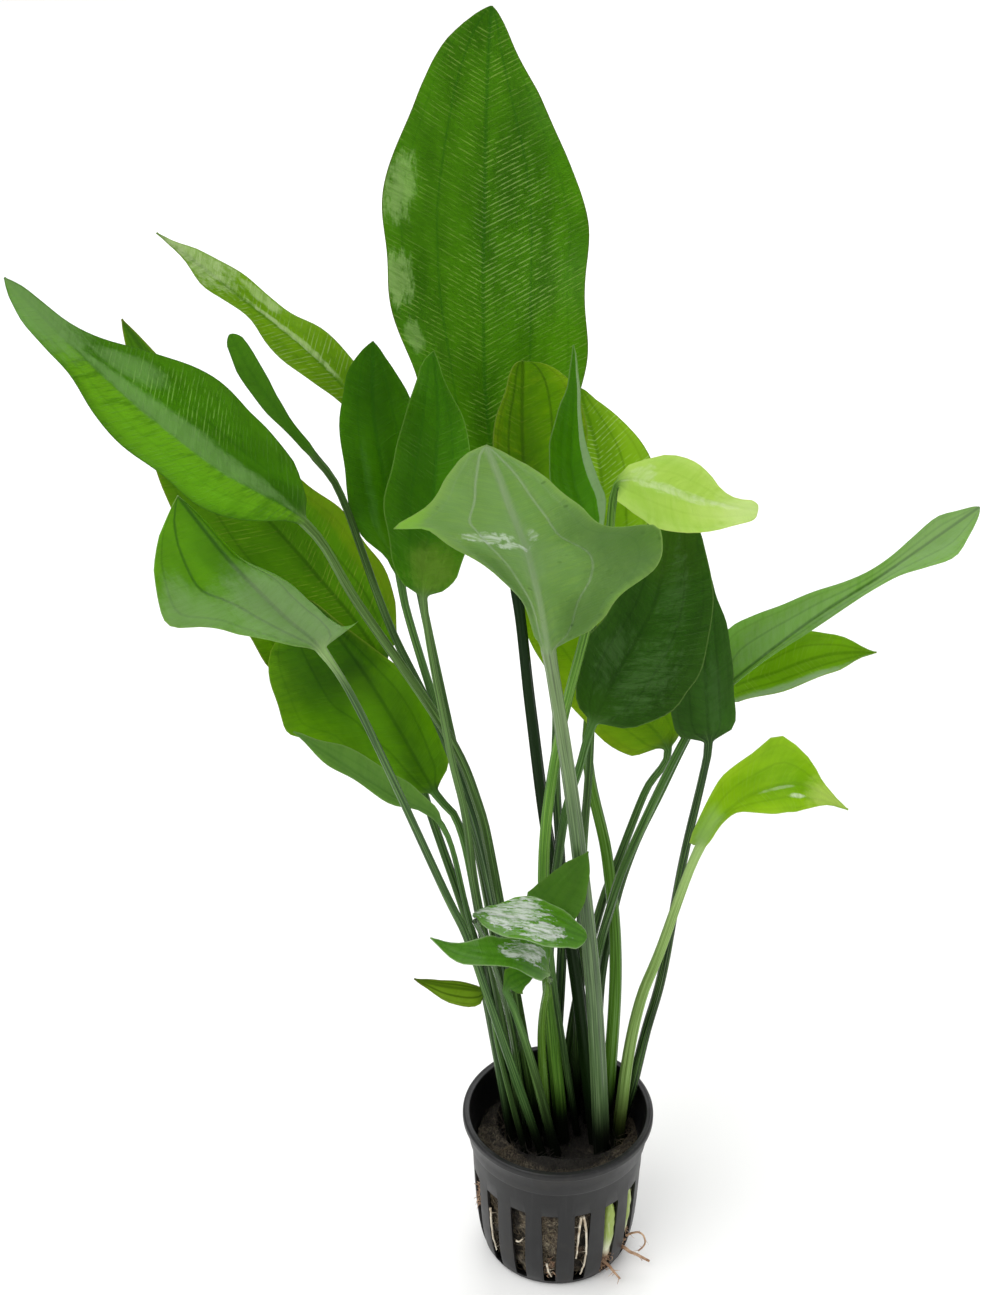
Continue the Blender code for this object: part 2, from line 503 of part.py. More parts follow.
def net_pot(material):
    lip = RIM_RADIUS
    lip_bottom = POT_HEIGHT - LIP_DROP
    outline = [
        (0.0, 0.0), (BASE_RADIUS - BASE_BEVEL, 0.0), (BASE_RADIUS, BASE_BEVEL),
        *((radius, height) for height, radius in WALL_PROFILE[1:]),
        (BAND_BOTTOM_RADIUS, BAND_BOTTOM + 0.7), (BAND_RADIUS, lip_bottom),
        (lip, lip_bottom + 0.5), (lip, POT_HEIGHT - 0.5), (lip - 0.5, POT_HEIGHT),
        (RIM_INNER + 0.4, POT_HEIGHT), (RIM_INNER, POT_HEIGHT - 0.6),
        (outer_radius(BAND_BOTTOM) - WALL, BAND_BOTTOM - 0.5),
        *((radius - WALL, height) for height, radius in WALL_PROFILE[-2:0:-1]),
        (outer_radius(FLOOR) - WALL, FLOOR), (0.0, FLOOR)]
    pot = add_object("net_pot", turned_mesh("net_pot", outline, POT_SEGMENTS), material, 30)
    bm = bmesh.new()
    for k in range(SLOT_COUNT):
        outward = slot_direction(FIRST_SLOT_ANGLE + 360 * k / SLOT_COUNT)
        middle = outward * (outer_radius(SLOT_TOP / 2) - WALL / 2)
        box_cutter(bm, middle, outward, SLOT_CUT_DEPTH, (SLOT_BOTTOM, SLOT_BOTTOM_WIDTH),
                   (SLOT_TOP, SLOT_TOP_WIDTH))
    for k in range(DRAIN_COUNT):
        outward = slot_direction(360 * k / DRAIN_COUNT)
        middle = outward * ((DRAIN_INNER + DRAIN_OUTER) / 2)
        box_cutter(bm, middle, outward, DRAIN_OUTER - DRAIN_INNER, (-CUT_BEYOND, DRAIN_WIDTH),
                   (FLOOR + CUT_BEYOND, DRAIN_WIDTH))
    cutter = bpy.data.objects.new("slot_cutter", finish_mesh("slot_cutter", bm))
    bpy.context.scene.collection.objects.link(cutter)
    cutter.hide_render = True
    cutter.display_type = "WIRE"
    cut = pot.modifiers.new("slots", "BOOLEAN")
    cut.operation = "DIFFERENCE"
    cut.object = cutter


def wool_radius(angle, height):
    """The plug fills the pot, but for the grooves where the side shoots lie."""
    radius = outer_radius(height) - WALL - WOOL_GAP
    degrees = math.degrees(math.atan2(math.cos(angle), -math.sin(angle)))
    if height < GROOVE_TOP:
        nearest = min(abs(degrees - groove) for groove in SHOOT_ANGLES)
        if nearest < GROOVE_WIDTH:
            radius -= GROOVE_DEPTH * math.cos(math.radians(90 * nearest / GROOVE_WIDTH)) ** 0.5
    return radius


def pit_point(angle, share, height):
    """A point of the hollow in the plug's top; share 1 is its edge."""
    spot = Vector((PIT_CENTRE[0] + PIT_RADII[0] * math.cos(angle) * share,
                   PIT_CENTRE[1] + PIT_RADII[1] * math.sin(angle) * share, 0.0))
    reach = (wool_radius(angle, WOOL_TOP) - PIT_BORDER) * (1 - PIT_TAPER + PIT_TAPER * share)
    if spot.length > reach:
        spot *= reach / spot.length
    return Vector((spot.x, spot.y, height))


def wool_top_lump(angle, share):
    broad, fine = WOOL_LUMPS
    return broad * math.sin(3 * angle + 5 * share) + fine * math.sin(7 * angle + 2)


def stone_wool(material):
    angles = [2 * math.pi * k / WOOL_SEGMENTS for k in range(WOOL_SEGMENTS)]
    rings = []
    for height in (FLOOR + 0.4, 12.0, 24.0, GROOVE_TOP - 0.5, GROOVE_TOP + 0.5, WOOL_TOP - 1.5):
        rings.append([Vector((math.cos(a), math.sin(a), 0.0)) * wool_radius(a, height)
                      + Vector((0.0, 0.0, height)) for a in angles])
    for inward in (0.25, 0.8):
        ring = []
        for a in angles:
            height = WOOL_TOP + wool_top_lump(a, inward)
            outer = Vector((math.cos(a), math.sin(a), 0.0)) * wool_radius(a, height)
            outer.z = height
            ring.append(outer.lerp(pit_point(a, 1.0, height), inward))
        rings.append(ring)
    rings.append([pit_point(a, 0.97, PIT_FLOOR + 1.0) for a in angles])
    rings.append([pit_point(a, 0.5, PIT_FLOOR) for a in angles])
    add_object("stone_wool", rings_to_mesh("stone_wool", rings), material, 60)


def on_wall(degrees, height, inset):
    """A point at an angle from the front, inset from the wall's outer face."""
    spot = slot_direction(degrees) * (outer_radius(height) - inset)
    spot.z = height
    return spot


def side_shoot(name, degrees, stations, material):
    across, upper = Vector((1.0, 0.0, 0.0)), Vector((0.0, 1.0, 0.0))
    rings = [circle_ring(on_wall(degrees, height, inset), across, upper, radius, RING_POINTS)
             for height, inset, radius in stations]
    add_object(name, rings_to_mesh(name, rings), material)


def root_tube(name, points, radius, material):
    line = [Vector(point) for point in points]
    rings = []
    steps = (len(line) - 1) * ROOT_STEPS
    guide = Vector((0.3, 0.9, 0.2))
    for k in range(steps + 1):
        place = (len(line) - 1) * k / steps
        tangent = curve_tangent(line, place)
        upper = (guide - tangent * guide.dot(tangent)).normalized()
        thin = radius * (1 - ROOT_TAPER * k / steps)
        rings.append(circle_ring(curve_point(line, place), tangent.cross(upper), upper, thin, ROOT_SIDES))
    add_object(name, rings_to_mesh(name, rings), material)


def build():
    clear_scene()
    net_pot(make_material("pot_plastic", POT_BLACK, 0.4))
    stone_wool(make_material("stone_wool_fibre", WOOL_BROWN, 0.95))
    green = make_material("leaf_green", LEAF_GREEN, 0.35)
    pale = make_material("leaf_pale_green", PALE_GREEN, 0.4)
    for name, leaf in LEAVES.items():
        add_object(name, leaf_mesh(name, leaf), pale if name in PALE_LEAVES else green)
    shoot_green = make_material("shoot_green", SHOOT_GREEN, 0.45)
    for degrees, (name, stations) in zip(SHOOT_ANGLES, SHOOTS.items()):
        side_shoot(name, degrees, stations, shoot_green)
    cream = make_material("root_cream", ROOT_CREAM, 0.6)
    for name, (places, radius) in SLOT_ROOTS.items():
        points = [on_wall(degrees, height, SLOT_ROOT_INSET) for degrees, height in places]
        root_tube(name, points, radius, cream)
    tan = make_material("root_tan", ROOT_TAN, 0.7)
    for name, (points, radius) in LOOSE_ROOTS.items():
        root_tube(name, points, radius, tan)


build()
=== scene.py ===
import math
import random

import bmesh
import bpy
import numpy as np
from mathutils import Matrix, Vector, noise


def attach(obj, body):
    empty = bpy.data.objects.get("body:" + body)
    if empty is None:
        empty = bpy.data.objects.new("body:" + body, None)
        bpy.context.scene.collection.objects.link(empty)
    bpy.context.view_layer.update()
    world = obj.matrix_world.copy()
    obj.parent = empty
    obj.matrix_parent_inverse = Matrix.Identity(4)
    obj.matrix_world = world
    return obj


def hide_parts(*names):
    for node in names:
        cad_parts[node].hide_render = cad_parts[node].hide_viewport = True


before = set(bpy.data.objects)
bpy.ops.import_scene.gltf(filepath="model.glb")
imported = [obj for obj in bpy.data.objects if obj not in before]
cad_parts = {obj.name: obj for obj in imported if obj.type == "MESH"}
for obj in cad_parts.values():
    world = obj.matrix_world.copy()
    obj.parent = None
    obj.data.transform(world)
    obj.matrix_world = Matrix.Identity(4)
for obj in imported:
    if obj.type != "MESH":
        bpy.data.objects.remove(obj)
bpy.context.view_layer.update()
mm = 0.001
noise.seed_set(1)  # noise vectors would change from run to run without it
print("frame loaded:", len(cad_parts), "nodes")


def linear(hexColour):  # an sRGB hex value as linear RGBA
    parts = [int(hexColour[i:i + 2], 16) / 255 for i in (1, 3, 5)]
    return tuple(c / 12.92 if c <= 0.04045 else ((c + 0.055) / 1.055) ** 2.4 for c in parts) + (1.0,)


def scaleFor(size):  # the scale of a pattern whose details are this many mm in size
    return 1 / (size * mm)


def addNode(tree, kind, inputs=(), out=0, **settings):
    # adds a node, sets it up, fills or links its inputs, by name or in their order, and returns
    # one of its outputs, or all of them if out is None
    node = tree.nodes.new("ShaderNode" + kind)
    for key, value in settings.items():
        setattr(node, key, value)
    for key, value in inputs.items() if isinstance(inputs, dict) else enumerate(inputs):
        if isinstance(value, bpy.types.NodeSocket):
            tree.links.new(value, node.inputs[key])
        else:
            node.inputs[key].default_value = value
    return node.outputs if out is None else node.outputs[out]


smooth = {"interpolation_type": "SMOOTHSTEP"}


def layered(tree, colour, layers, **curve):
    # lays tints over a colour in turn; a layer is a mask and its tint, or a value, where the tint
    # sets in and where it is full, how far it then covers, and the tint
    for *mask, tint in layers:
        if len(mask) > 1:
            value, start, full, cover = mask
            mask = [addNode(tree, "MapRange", (value, start, full, 0, cover), **curve)]
        below, above = (linear(c) if isinstance(c, str) else c for c in (colour, tint))
        colour = addNode(tree, "Mix", {0: mask[0], 6: below, 7: above}, 2, data_type="RGBA")
    return colour


def newMaterial(name):
    material = bpy.data.materials.new(name)
    material.use_nodes = True
    material.node_tree.nodes.clear()
    return material, material.node_tree


def meshObject(name, points, faces, material, smoothAngle):  # points in mm
    mesh = bpy.data.meshes.new(name)
    mesh.from_pydata([tuple(c * mm for c in point) for point in points], [], faces)
    mesh.materials.append(material)
    mesh.shade_smooth()
    mesh.set_sharp_from_angle(angle=math.radians(smoothAngle))
    return addObject(name, mesh)


def addObject(name, data):
    piece = bpy.data.objects.new(name, data)
    bpy.context.scene.collection.objects.link(piece)
    return piece


def ringFaces(rings, count):  # quads between closed rings of points, and a face on each end
    faces = [(r * count + k, r * count + (k + 1) % count, (r + 1) * count + (k + 1) % count,
              (r + 1) * count + k) for r in range(rings - 1) for k in range(count)]
    return faces + [tuple(reversed(range(count))), tuple((rings - 1) * count + k for k in range(count))]


def place(piece, node):
    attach(piece, "root")
    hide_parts(node)


# Camera, floor and light

cameraSettings = {
    "position": (-0.0189, -0.5707, 0.5876),
    "lookDown": 33.6,       # degrees below level
    "lens": 75.0,
    "sensorHeight": 36.0,
    "clip": (0.01, 50.0),
}
studio = {
    "floorColour": "#fdfdfc",
    "floorReach": 4000.0,   # mm from the middle to each side
    "floorDrop": 0.3,       # mm below the pot
    "grainSize": 8.9,       # mm
    "worldColour": "#ffffff",
    "worldStrength": 0.62,
    # lamps: position, aim, power, size
    "keyLamp": ((-0.5, -0.35, 0.95), (0, 0, 0.18), 7.2, 1.1),
    "backLamp": ((0.15, 0.9, 0.75), (0, 0, 0.2), 6.0, 1.0),
    "fillLamp": ((0.7, -0.5, 0.5), (0, 0, 0.15), 1.3, 0.8),
}


def addCamera():
    settings = cameraSettings
    data = bpy.data.cameras.new("studioCamera")
    data.lens = settings["lens"]
    data.sensor_fit = "VERTICAL"
    data.sensor_height = settings["sensorHeight"]
    data.clip_start, data.clip_end = settings["clip"]
    camera = addObject("studioCamera", data)
    camera.location = settings["position"]
    camera.rotation_euler = (math.radians(90 - settings["lookDown"]), 0.0, 0.0)
    bpy.context.scene.camera = camera


def boardMaterial():
    # matt white painted board: an even pale ground with no gloss
    material, tree = newMaterial("paintedBoardWhite")
    spot = addNode(tree, "TexCoord", (), "Object")
    grain = addNode(tree, "TexNoise", {"Vector": spot, "Scale": scaleFor(studio["grainSize"]), "Detail": 2.0})
    bump = addNode(tree, "Bump", {"Height": grain, "Strength": 0.02, "Distance": 0.0002})
    paint = addNode(tree, "BsdfPrincipled",
                    {"Base Color": linear(studio["floorColour"]), "Roughness": 0.9, "Normal": bump})
    addNode(tree, "OutputMaterial", (paint,), None)
    return material


def addStudio():
    scene = bpy.context.scene
    scene.view_settings.view_transform = "Standard"
    world = bpy.data.worlds.new("studioWorld")
    scene.world = world
    world.use_nodes = True
    backdrop = world.node_tree.nodes["Background"]
    backdrop.inputs["Color"].default_value = linear(studio["worldColour"])
    backdrop.inputs["Strength"].default_value = studio["worldStrength"]
    corners = [(x * studio["floorReach"], y * studio["floorReach"], -studio["floorDrop"])
               for x, y in ((-1, -1), (1, -1), (1, 1), (-1, 1))]
    floor = meshObject("studioFloor", corners, [(0, 1, 2, 3)], boardMaterial(), 60)
    for name in ("keyLamp", "backLamp", "fillLamp"):
        position, aim, power, size = studio[name]
        data = bpy.data.lights.new(name, "AREA")
        data.shape = "DISK"
        data.size = size
        data.energy = power
        lamp = addObject(name, data)
        lamp.location = position
        lamp.rotation_euler = (Vector(aim) - Vector(position)).to_track_quat("-Z", "Y").to_euler()


addCamera()
addStudio()
print("camera and studio ready")


# Leaves

leafShape = {
    "ringPoints": 64,
    "stalkSpacing": 4.0,    # mm between rings
    "bladeSpacing": 2.0,
    "skin": 0.26,           # half the blade's thickness beside the midrib, mm
    "edgeSkin": 0.10,
    "widthPlaces": (0.12, 0.30, 0.50, 0.70, 0.88),
    "finePlaces": (0.06, 0.12, 0.21, 0.30, 0.40, 0.50, 0.60, 0.70, 0.79, 0.88, 0.95),
    "tipHalfWidth": 0.3,
    "ribs": (0.46, 0.82),   # side ribs, as shares of the half width
    "ribDepth": 0.16,       # mm pressed into the upper side
    "ribWidth": 0.7,
    "underRib": 0.22,       # mm that they stand out on the underside
    "underRibWidth": 0.55,
    "grooveDepth": 0.30,    # the midrib's groove on the upper side
    "grooveWidth": 0.8,
    "grooveStart": 12.0,    # mm from the stalk in which it deepens
    "ridges": 7,            # lengthwise ridges round a stalk
    "ridgeDepth": 0.06,
    "flatTop": 0.85,        # a stalk is flatter on its upper side
    "joinLength": 5.0,      # mm in which the round stalk becomes the flat blade
    "calm": (0.15, 0.1),    # shares of the blade without waves at its base and its tip
    "lobeReach": 0.10,      # share of the blade in which a lobe reaches back
    "fullRipple": 16.0,     # half width from which the edge ripples fully, mm
    "wobble": 0.5,          # mm that the blade strays from its line
    "wobblePitch": 0.035,   # noise units to a mm
    "swellLength": 4.0,     # mm of thicker stalk at the joint
}


def smoothBetween(a, b, c, d, u):
    return 0.5 * (2 * b + (c - a) * u + (2 * a - 5 * b + 4 * c - d) * u ** 2
                  + (3 * b - a - 3 * c + d) * u ** 3)


def curvePoint(points, at):  # a smooth curve through the points
    last = len(points) - 1
    k = min(int(at), last - 1)
    b, c = points[k], points[k + 1]
    a = points[k - 1] if k > 0 else b * 2 - c
    d = points[k + 2] if k + 2 <= last else c * 2 - b
    return smoothBetween(a, b, c, d, at - k)


def unit(vector):
    return vector / np.linalg.norm(vector)


def curveTangent(points, at, step=0.02):
    return unit(curvePoint(points, min(len(points) - 1.0, at + step))
                - curvePoint(points, max(0.0, at - step)))


def evenPlaces(points, first, last, spacing):  # places an even distance apart, both ends included
    fine = np.linspace(first, last, int((last - first) * 24) + 2)
    spots = np.array([curvePoint(points, at) for at in fine])
    reach = np.concatenate([[0.0], np.cumsum(np.linalg.norm(np.diff(spots, axis=0), axis=1))])
    steps = np.linspace(0.0, reach[-1], max(4, int(reach[-1] / spacing)) + 1)
    return np.interp(steps, reach, fine), steps


def halfWidth(leaf, side, along, root):
    widths = leaf[side]
    places = leafShape["widthPlaces" if len(widths) == 5 else "finePlaces"]
    first, last = places[0], places[-1]
    if along < first:
        return max(root, widths[0] * (along / first) ** leaf["growth"])
    if along > last:
        return max(leafShape["tipHalfWidth"], widths[-1] * ((1 - along) / (1 - last)) ** leaf["taper"])
    final = len(places) - 2
    k = max(i for i in range(final + 1) if along >= places[i])
    before = widths[k - 1] if k > 0 else widths[0] * 0.6
    after = widths[k + 2] if k < final else widths[-1] * 0.2
    return smoothBetween(before, widths[k], widths[k + 1], after,
                         (along - places[k]) / (places[k + 1] - places[k]))


def leafRing(leaf, along, alongMm, radius, seed):
    # points of one ring as (right, up, forward) in mm, and what the material reads
    shape = leafShape
    turn = 2 * np.pi * np.arange(shape["ringPoints"]) / shape["ringPoints"]
    c, s = np.cos(turn), np.sin(turn)
    ridged = radius * (1 + shape["ridgeDepth"] * np.cos(shape["ridges"] * turn))
    roundRing = np.stack([c * ridged, s * ridged * np.where(s > 0, shape["flatTop"], 1.0), 0 * c], axis=1)
    across = c * (0.55 + 0.45 * c * c)  # spreads the points evenly over the blade
    share, sign = np.abs(across), np.sign(across)

    def sided(pair):  # the left half takes the first value, the right half the second
        return np.where(across >= 0, pair[1], pair[0])

    width = sided([halfWidth(leaf, side, max(along, 0.0), radius) for side in ("left", "right")])
    if along <= 0:
        return roundRing, across * radius, width * 0 + radius, share * 0
    calmBase, calmTip = shape["calm"]
    window = min(1.0, along / calmBase) * min(1.0, (1 - along) / calmTip)
    fold = np.radians(sided(leaf["fold"])) * (0.4 + 0.6 * share)
    waves, height, phase = leaf.get("wave", (2.5, 1.0, seed))
    ripple = height * window * share ** 2 * np.sin(2 * np.pi * waves * along + phase + sided((2.1, 0)))
    x = sign * width * share * np.cos(fold)
    z = width * share * np.sin(fold) + ripple
    y = -sided(leaf["lobe"]) * math.exp(-along / shape["lobeReach"]) * share ** 1.6
    for side, centre, spread, out, lift in leaf["horns"]:
        bump = math.exp(-((along - centre) / spread) ** 2) * share ** 4 * (sign == side)
        x = x + side * out * bump
        z = z + lift * bump
    ripples, reach = leaf["edgeRipple"]
    x = x + (sign * reach * np.minimum(1.0, width / shape["fullRipple"]) ** 2 * window * share ** 3
             * np.sin(2 * np.pi * ripples * along + seed + sign))
    outMm = share * width
    under = 0.0
    for rib in shape["ribs"]:
        ribMm = (share - rib) * width
        z = z - shape["ribDepth"] * np.exp(-(ribMm / shape["ribWidth"]) ** 2) * window
        under = under + shape["underRib"] * np.exp(-(ribMm / shape["underRibWidth"]) ** 2) * window
    thin = (shape["skin"] + (shape["edgeSkin"] - shape["skin"]) * share) * np.sqrt(1 - share ** 8)
    ribRadius = radius * 0.9 * (1 - along) ** 0.75 + 0.12
    midrib = ribRadius * np.exp(-(outMm / (ribRadius * 1.05)) ** 2)
    groove = (shape["grooveDepth"] * min(1.0, alongMm / shape["grooveStart"]) * (1 - 0.6 * along)
              * np.exp(-(outMm / shape["grooveWidth"]) ** 2))
    z = np.where(s >= 0, z + thin - groove, z - thin - midrib - under)
    join = min(1.0, alongMm / shape["joinLength"])
    join = join * join * (3 - 2 * join)
    flat = np.stack([x, z, y], axis=1)
    return roundRing * (1 - join) + flat * join, across * width, width, share * 0 + join


def leafMeshData(leaf, seed):
    shape = leafShape
    count = shape["ringPoints"]
    stalk = [np.array(p, float) for p in [(*leaf["foot"], footHeight), *leaf["stalk"]]]
    points = stalk + [np.array(p, float) for p in leaf["spine"]]
    joint, last = len(stalk) - 1, len(points) - 1
    radius, thinning = leaf["diameter"] / 2, leaf["thin"]
    stalkPlaces, stalkSteps = evenPlaces(points, 0.0, float(joint), shape["stalkSpacing"])
    bladePlaces, bladeSteps = evenPlaces(points, float(joint), float(last), shape["bladeSpacing"])
    # the blade's first and last steps are split finer
    early = [(joint + (bladePlaces[1] - joint) * u, bladeSteps[1] * u) for u in (0, 0.25, 0.5, 0.75)]
    near, gap, step = bladePlaces[-2], last - bladePlaces[-2], bladeSteps[-1] - bladeSteps[-2]
    late = [(near + gap * u, bladeSteps[-2] + step * u) for u in (0.4, 0.7, 0.9, 1.0)]
    stations = [(at, 0.0, d - stalkSteps[-1], d / stalkSteps[-1])
                for at, d in zip(stalkPlaces[:-1], stalkSteps)]
    stations += [(at, (at - joint) / (last - joint), d, 1.0)
                 for at, d in early + list(zip(bladePlaces[1:-1], bladeSteps[1:])) + late]
    turn = 2 * np.pi * np.arange(count) / count
    topSide = np.clip(np.sin(turn) * 6 + 0.5, 0, 1)
    spots, shares, distances, zones = [], [], [], []
    for at, along, alongMm, stalkShare in stations:
        centre, tangent = curvePoint(points, at), curveTangent(points, at)
        facing = np.array(leaf["face"]) * (1 - along) + np.array(leaf["tipFace"]) * along
        upper = unit(facing - tangent * np.dot(facing, tangent))
        side = np.cross(tangent, upper)
        swell = leaf["swell"] * math.exp(-(alongMm / shape["swellLength"]) ** 2)
        thick = radius * (1.25 - thinning * (stalkShare if along <= 0 else 1) + swell)
        local, acrossMm, width, join = leafRing(leaf, along, alongMm, thick, seed)
        ring = centre + local[:, :1] * side + local[:, 1:2] * upper + local[:, 2:] * tangent
        for i in range(count if join[0] > 0 else 0):
            lift = noise.noise_vector(Vector(ring[i]) * shape["wobblePitch"] + Vector((seed, 0, 0)))
            ring[i] += np.array(lift) * shape["wobble"] * join[i] * min(1.0, width[i] / 6)
        spots.append(ring)
        shares.append(np.stack([acrossMm / width, np.full(count, along), topSide], axis=1))
        distances.append(np.stack([acrossMm, np.full(count, alongMm), turn], axis=1))
        zones.append(np.stack([join, np.full(count, stalkShare), width], axis=1))
    layers = {"leafShare": shares, "leafMm": distances, "leafZone": zones}
    return np.concatenate(spots), ringFaces(len(stations), count), layers


# Leaf tissue, fresh and waxy: satin gloss over a body that light shines through, with a net of
# fine pale cross veins, lengthwise ribs and a thin margin, and painted highlights, glints, glow
# and shade laid into the colour. One material for each leaf.

leafLook = {
    # the upper side, its darker clouds, towards the margin, light that comes through, cross veins
    "greens": "#4a9410 #2f7408 #5fa61a #8fd02a #9fcf62",
    "leftGround": None,         # another green for the left half
    "under": "#6f9a55",         # the underside
    "rib": "#2a6410",
    "margin": "#6d7a3a",
    "stalk": "#34591f",
    "stalkTop": "#456d2c",
    # painted shade: the near-black a stalk darkens to low in the pot; its dark streaks use it too
    "foot": "#0b1408",
    "plugShade": "#0b0f08",     # the stalk's shaded end in the plug
    "streak": "#7fa85c",        # pale streaks on the stalk, partly painted highlights
    "speck": "#2c4a1c",
    "veins": (0.45, 0.4, 0.5),  # how strongly the cross veins, the ribs and the midrib show
    "outerRib": 0.45,           # the outer ribs against the inner ones
    "midribWidth": 0.75,        # mm
    "underVeins": 0.6,
    "clouds": 0.7,
    "mottle": 0.6,              # small streaky patches that follow the cross veins
    "specks": 0.0,
    "lightThrough": 0.5,
    "roughness": 0.36,
    "gloss": 0.13,              # specular level
    "wet": 0.0,                 # a film of water, as clear coat
    "sheen": (),                # painted sheen, pale ovals of painted highlight: across, along, half width, half length, strength
    "sheenColour": "#a9cf8c",
    "ragged": 3.0,              # how far they fray
    "sheenCore": 0.15,          # how soft they fade
    "sheenStreak": 0.6,         # how far they break up
    "sheenAlong": False,        # they break up along the leaf, not across
    "sheenUnder": False,        # they show on the underside too
    "patches": (),              # another green, in places painted shade and painted glow: across, along, half width, half length, strength, tint
    "veinGlints": (),          # painted glints, the same as the patches, only on the cross veins
    "patchFray": 1.2,
    "topFrom": 0.45,            # share of the stalk from which it takes on its top colour
    "veinSlant": 0.55,          # rise of the cross veins per mm outwards
    "veinSpacing": 1.25,        # mm; the real ones are closer, but would not show
    "strokeLength": 5.0,        # mm
    "ridgePitch": (3, 0.02, 1),  # the stalk's streaks: to a radian round it, to a mm along it
    "footFade": (0.060, 0.039),  # heights in m between which a stalk darkens to its foot, and with plugFade to plugShade: painted shade in the pot
    "plugFade": (0.050, 0.037),
    "oncePerUnit": 0.314,       # scale at which the wave texture repeats once a unit
    "patchySize": 18.18,        # mm
    "speckSize": 3.846,         # mm
    # noise that is drawn out along the leaf: mm across, mm along, detail, roughness
    "cloudNoise": (9.09, 28.57, 4.0, 0.55),
    "frayNoise": (1.111, 3.333, 5.0, 0.7),
    "streakNoise": (0.625, 3.125, 4.0, 0.65),
}


def leafMaterial(node, look):
    look = {**leafLook, **look}
    ground, deep, edge, through, crossVein = look["greens"].split()
    veins, ribs, midrib = look["veins"]
    material, tree = newMaterial("freshLeafTissue" + "".join(w.capitalize() for w in node.split("_")[1:]))
    seed = (sum(map(ord, node + "Tissue")) % 97) * 1.7
    shares, distances, zones = (addNode(tree, "Attribute", (), "Vector", attribute_name=name)
                                for name in ("leafShare", "leafMm", "leafZone"))
    across, along, topSide = addNode(tree, "SeparateXYZ", (shares,), None)
    acrossMm, alongMm, turn = addNode(tree, "SeparateXYZ", (distances,), None)
    blade, stalkShare, width = addNode(tree, "SeparateXYZ", (zones,), None)
    fromMid = addNode(tree, "Math", (across,), operation="ABSOLUTE")
    outMm = addNode(tree, "Math", (acrossMm,), operation="ABSOLUTE")
    spot = addNode(tree, "TexCoord", (), "Object")
    heightM = addNode(tree, "SeparateXYZ", (spot,), 2)

    # patterns
    drawnOut = []
    for key in ("cloudNoise", "frayNoise", "streakNoise"):
        mmAcross, mmAlong, detail, rough = look[key]
        at = addNode(tree, "VectorMath", (distances, (1 / mmAcross, 1 / mmAlong, 0), (0, 0, seed)),
                     operation="MULTIPLY_ADD")
        drawnOut.append(addNode(tree, "TexNoise",
                                {"Vector": at, "Scale": 1.0, "Detail": detail, "Roughness": rough}))
    cloud, ragged, lengthwise = drawnOut
    patchy = addNode(tree, "TexNoise",
                     {"Vector": spot, "Scale": scaleFor(look["patchySize"]), "Detail": 3.0, "Roughness": 0.6})
    # the cross veins are short parallel strokes that slant outwards and to the tip
    slant = addNode(tree, "Math", (outMm, -look["veinSlant"], alongMm), operation="MULTIPLY_ADD")
    flow = addNode(tree, "CombineXYZ", (slant, acrossMm, seed))
    flow = addNode(tree, "VectorMath", (flow, (1 / look["veinSpacing"], 1 / look["strokeLength"], 1)),
                   operation="MULTIPLY")
    streaky = addNode(tree, "TexNoise", {"Vector": flow, "Scale": 0.9, "Detail": 4.0, "Roughness": 0.65})
    broken = addNode(tree, "TexNoise", {"Vector": flow, "Scale": 1.7, "Detail": 3.0, "Roughness": 0.6})
    waves = addNode(tree, "TexWave", {"Vector": flow, "Scale": look["oncePerUnit"], "Distortion": 1.6,
                                      "Detail": 2.0, "Detail Scale": 1.4}, "Fac")
    strokes = addNode(tree, "Math", (addNode(tree, "MapRange", (waves, 0.70, 0.97), **smooth),
                                     addNode(tree, "MapRange", (broken, 0.42, 0.58), **smooth)),
                      operation="MULTIPLY")
    veinShow = addNode(tree, "MapRange", (patchy, 0.32, 0.68, 0, veins), **smooth)
    veinMask = addNode(tree, "Math", (strokes, veinShow), operation="MULTIPLY")
    # lengthwise ribs at their shares of the half width, and the midrib
    ribMask = 0.0
    for rib, strength in zip(leafShape["ribs"], (1.0, look["outerRib"])):
        away = addNode(tree, "Math", (fromMid, rib), operation="SUBTRACT")
        away = addNode(tree, "Math", (away, width), operation="MULTIPLY")
        away = addNode(tree, "Math", (away,), operation="ABSOLUTE")
        line = addNode(tree, "MapRange", (away, 0.5, 0.05, 0, strength), **smooth)
        ribMask = addNode(tree, "Math", (ribMask, line), operation="MAXIMUM")
    midLine = addNode(tree, "MapRange", (outMm, look["midribWidth"], 0.15, 0, midrib), **smooth)
    ribMask = addNode(tree, "Math", (ribMask, ribs), operation="MULTIPLY")
    ribMask = addNode(tree, "Math", (ribMask, midLine), operation="MAXIMUM")

    # the upper side, and the paler and greyer underside
    clouds = (cloud, 0.35, 0.7)
    leftHalf = [(across, 0.04, -0.04, 1, look["leftGround"])] if look["leftGround"] else []
    upper = layered(tree, ground, [
        (*clouds, look["clouds"], deep), *leftHalf, (fromMid, 0.55, 1, 0.7, edge),
        (streaky, 0.42, 0.68, look["mottle"], deep),
        (streaky, 0.46, 0.25, look["mottle"] * 0.7, edge),
        (veinMask, crossVein), (ribMask, look["rib"])], **smooth)
    colour = layered(tree, look["under"], [
        (*clouds, 0.35, ground), (streaky, 0.4, 0.7, look["mottle"] * 0.6, edge),
        (fromMid, 0.86, 1, 0.55, edge),
        (addNode(tree, "Math", (ribMask, look["underVeins"]), operation="MULTIPLY"), crossVein),
        (topSide, upper)], **smooth)

    # frayed ovals of another green, some of them painted shade and painted glow, plain or, as painted
    # glints, only on the cross veins; and painted sheen, pale ovals of painted highlight
    flat = addNode(tree, "CombineXYZ", (across, along))

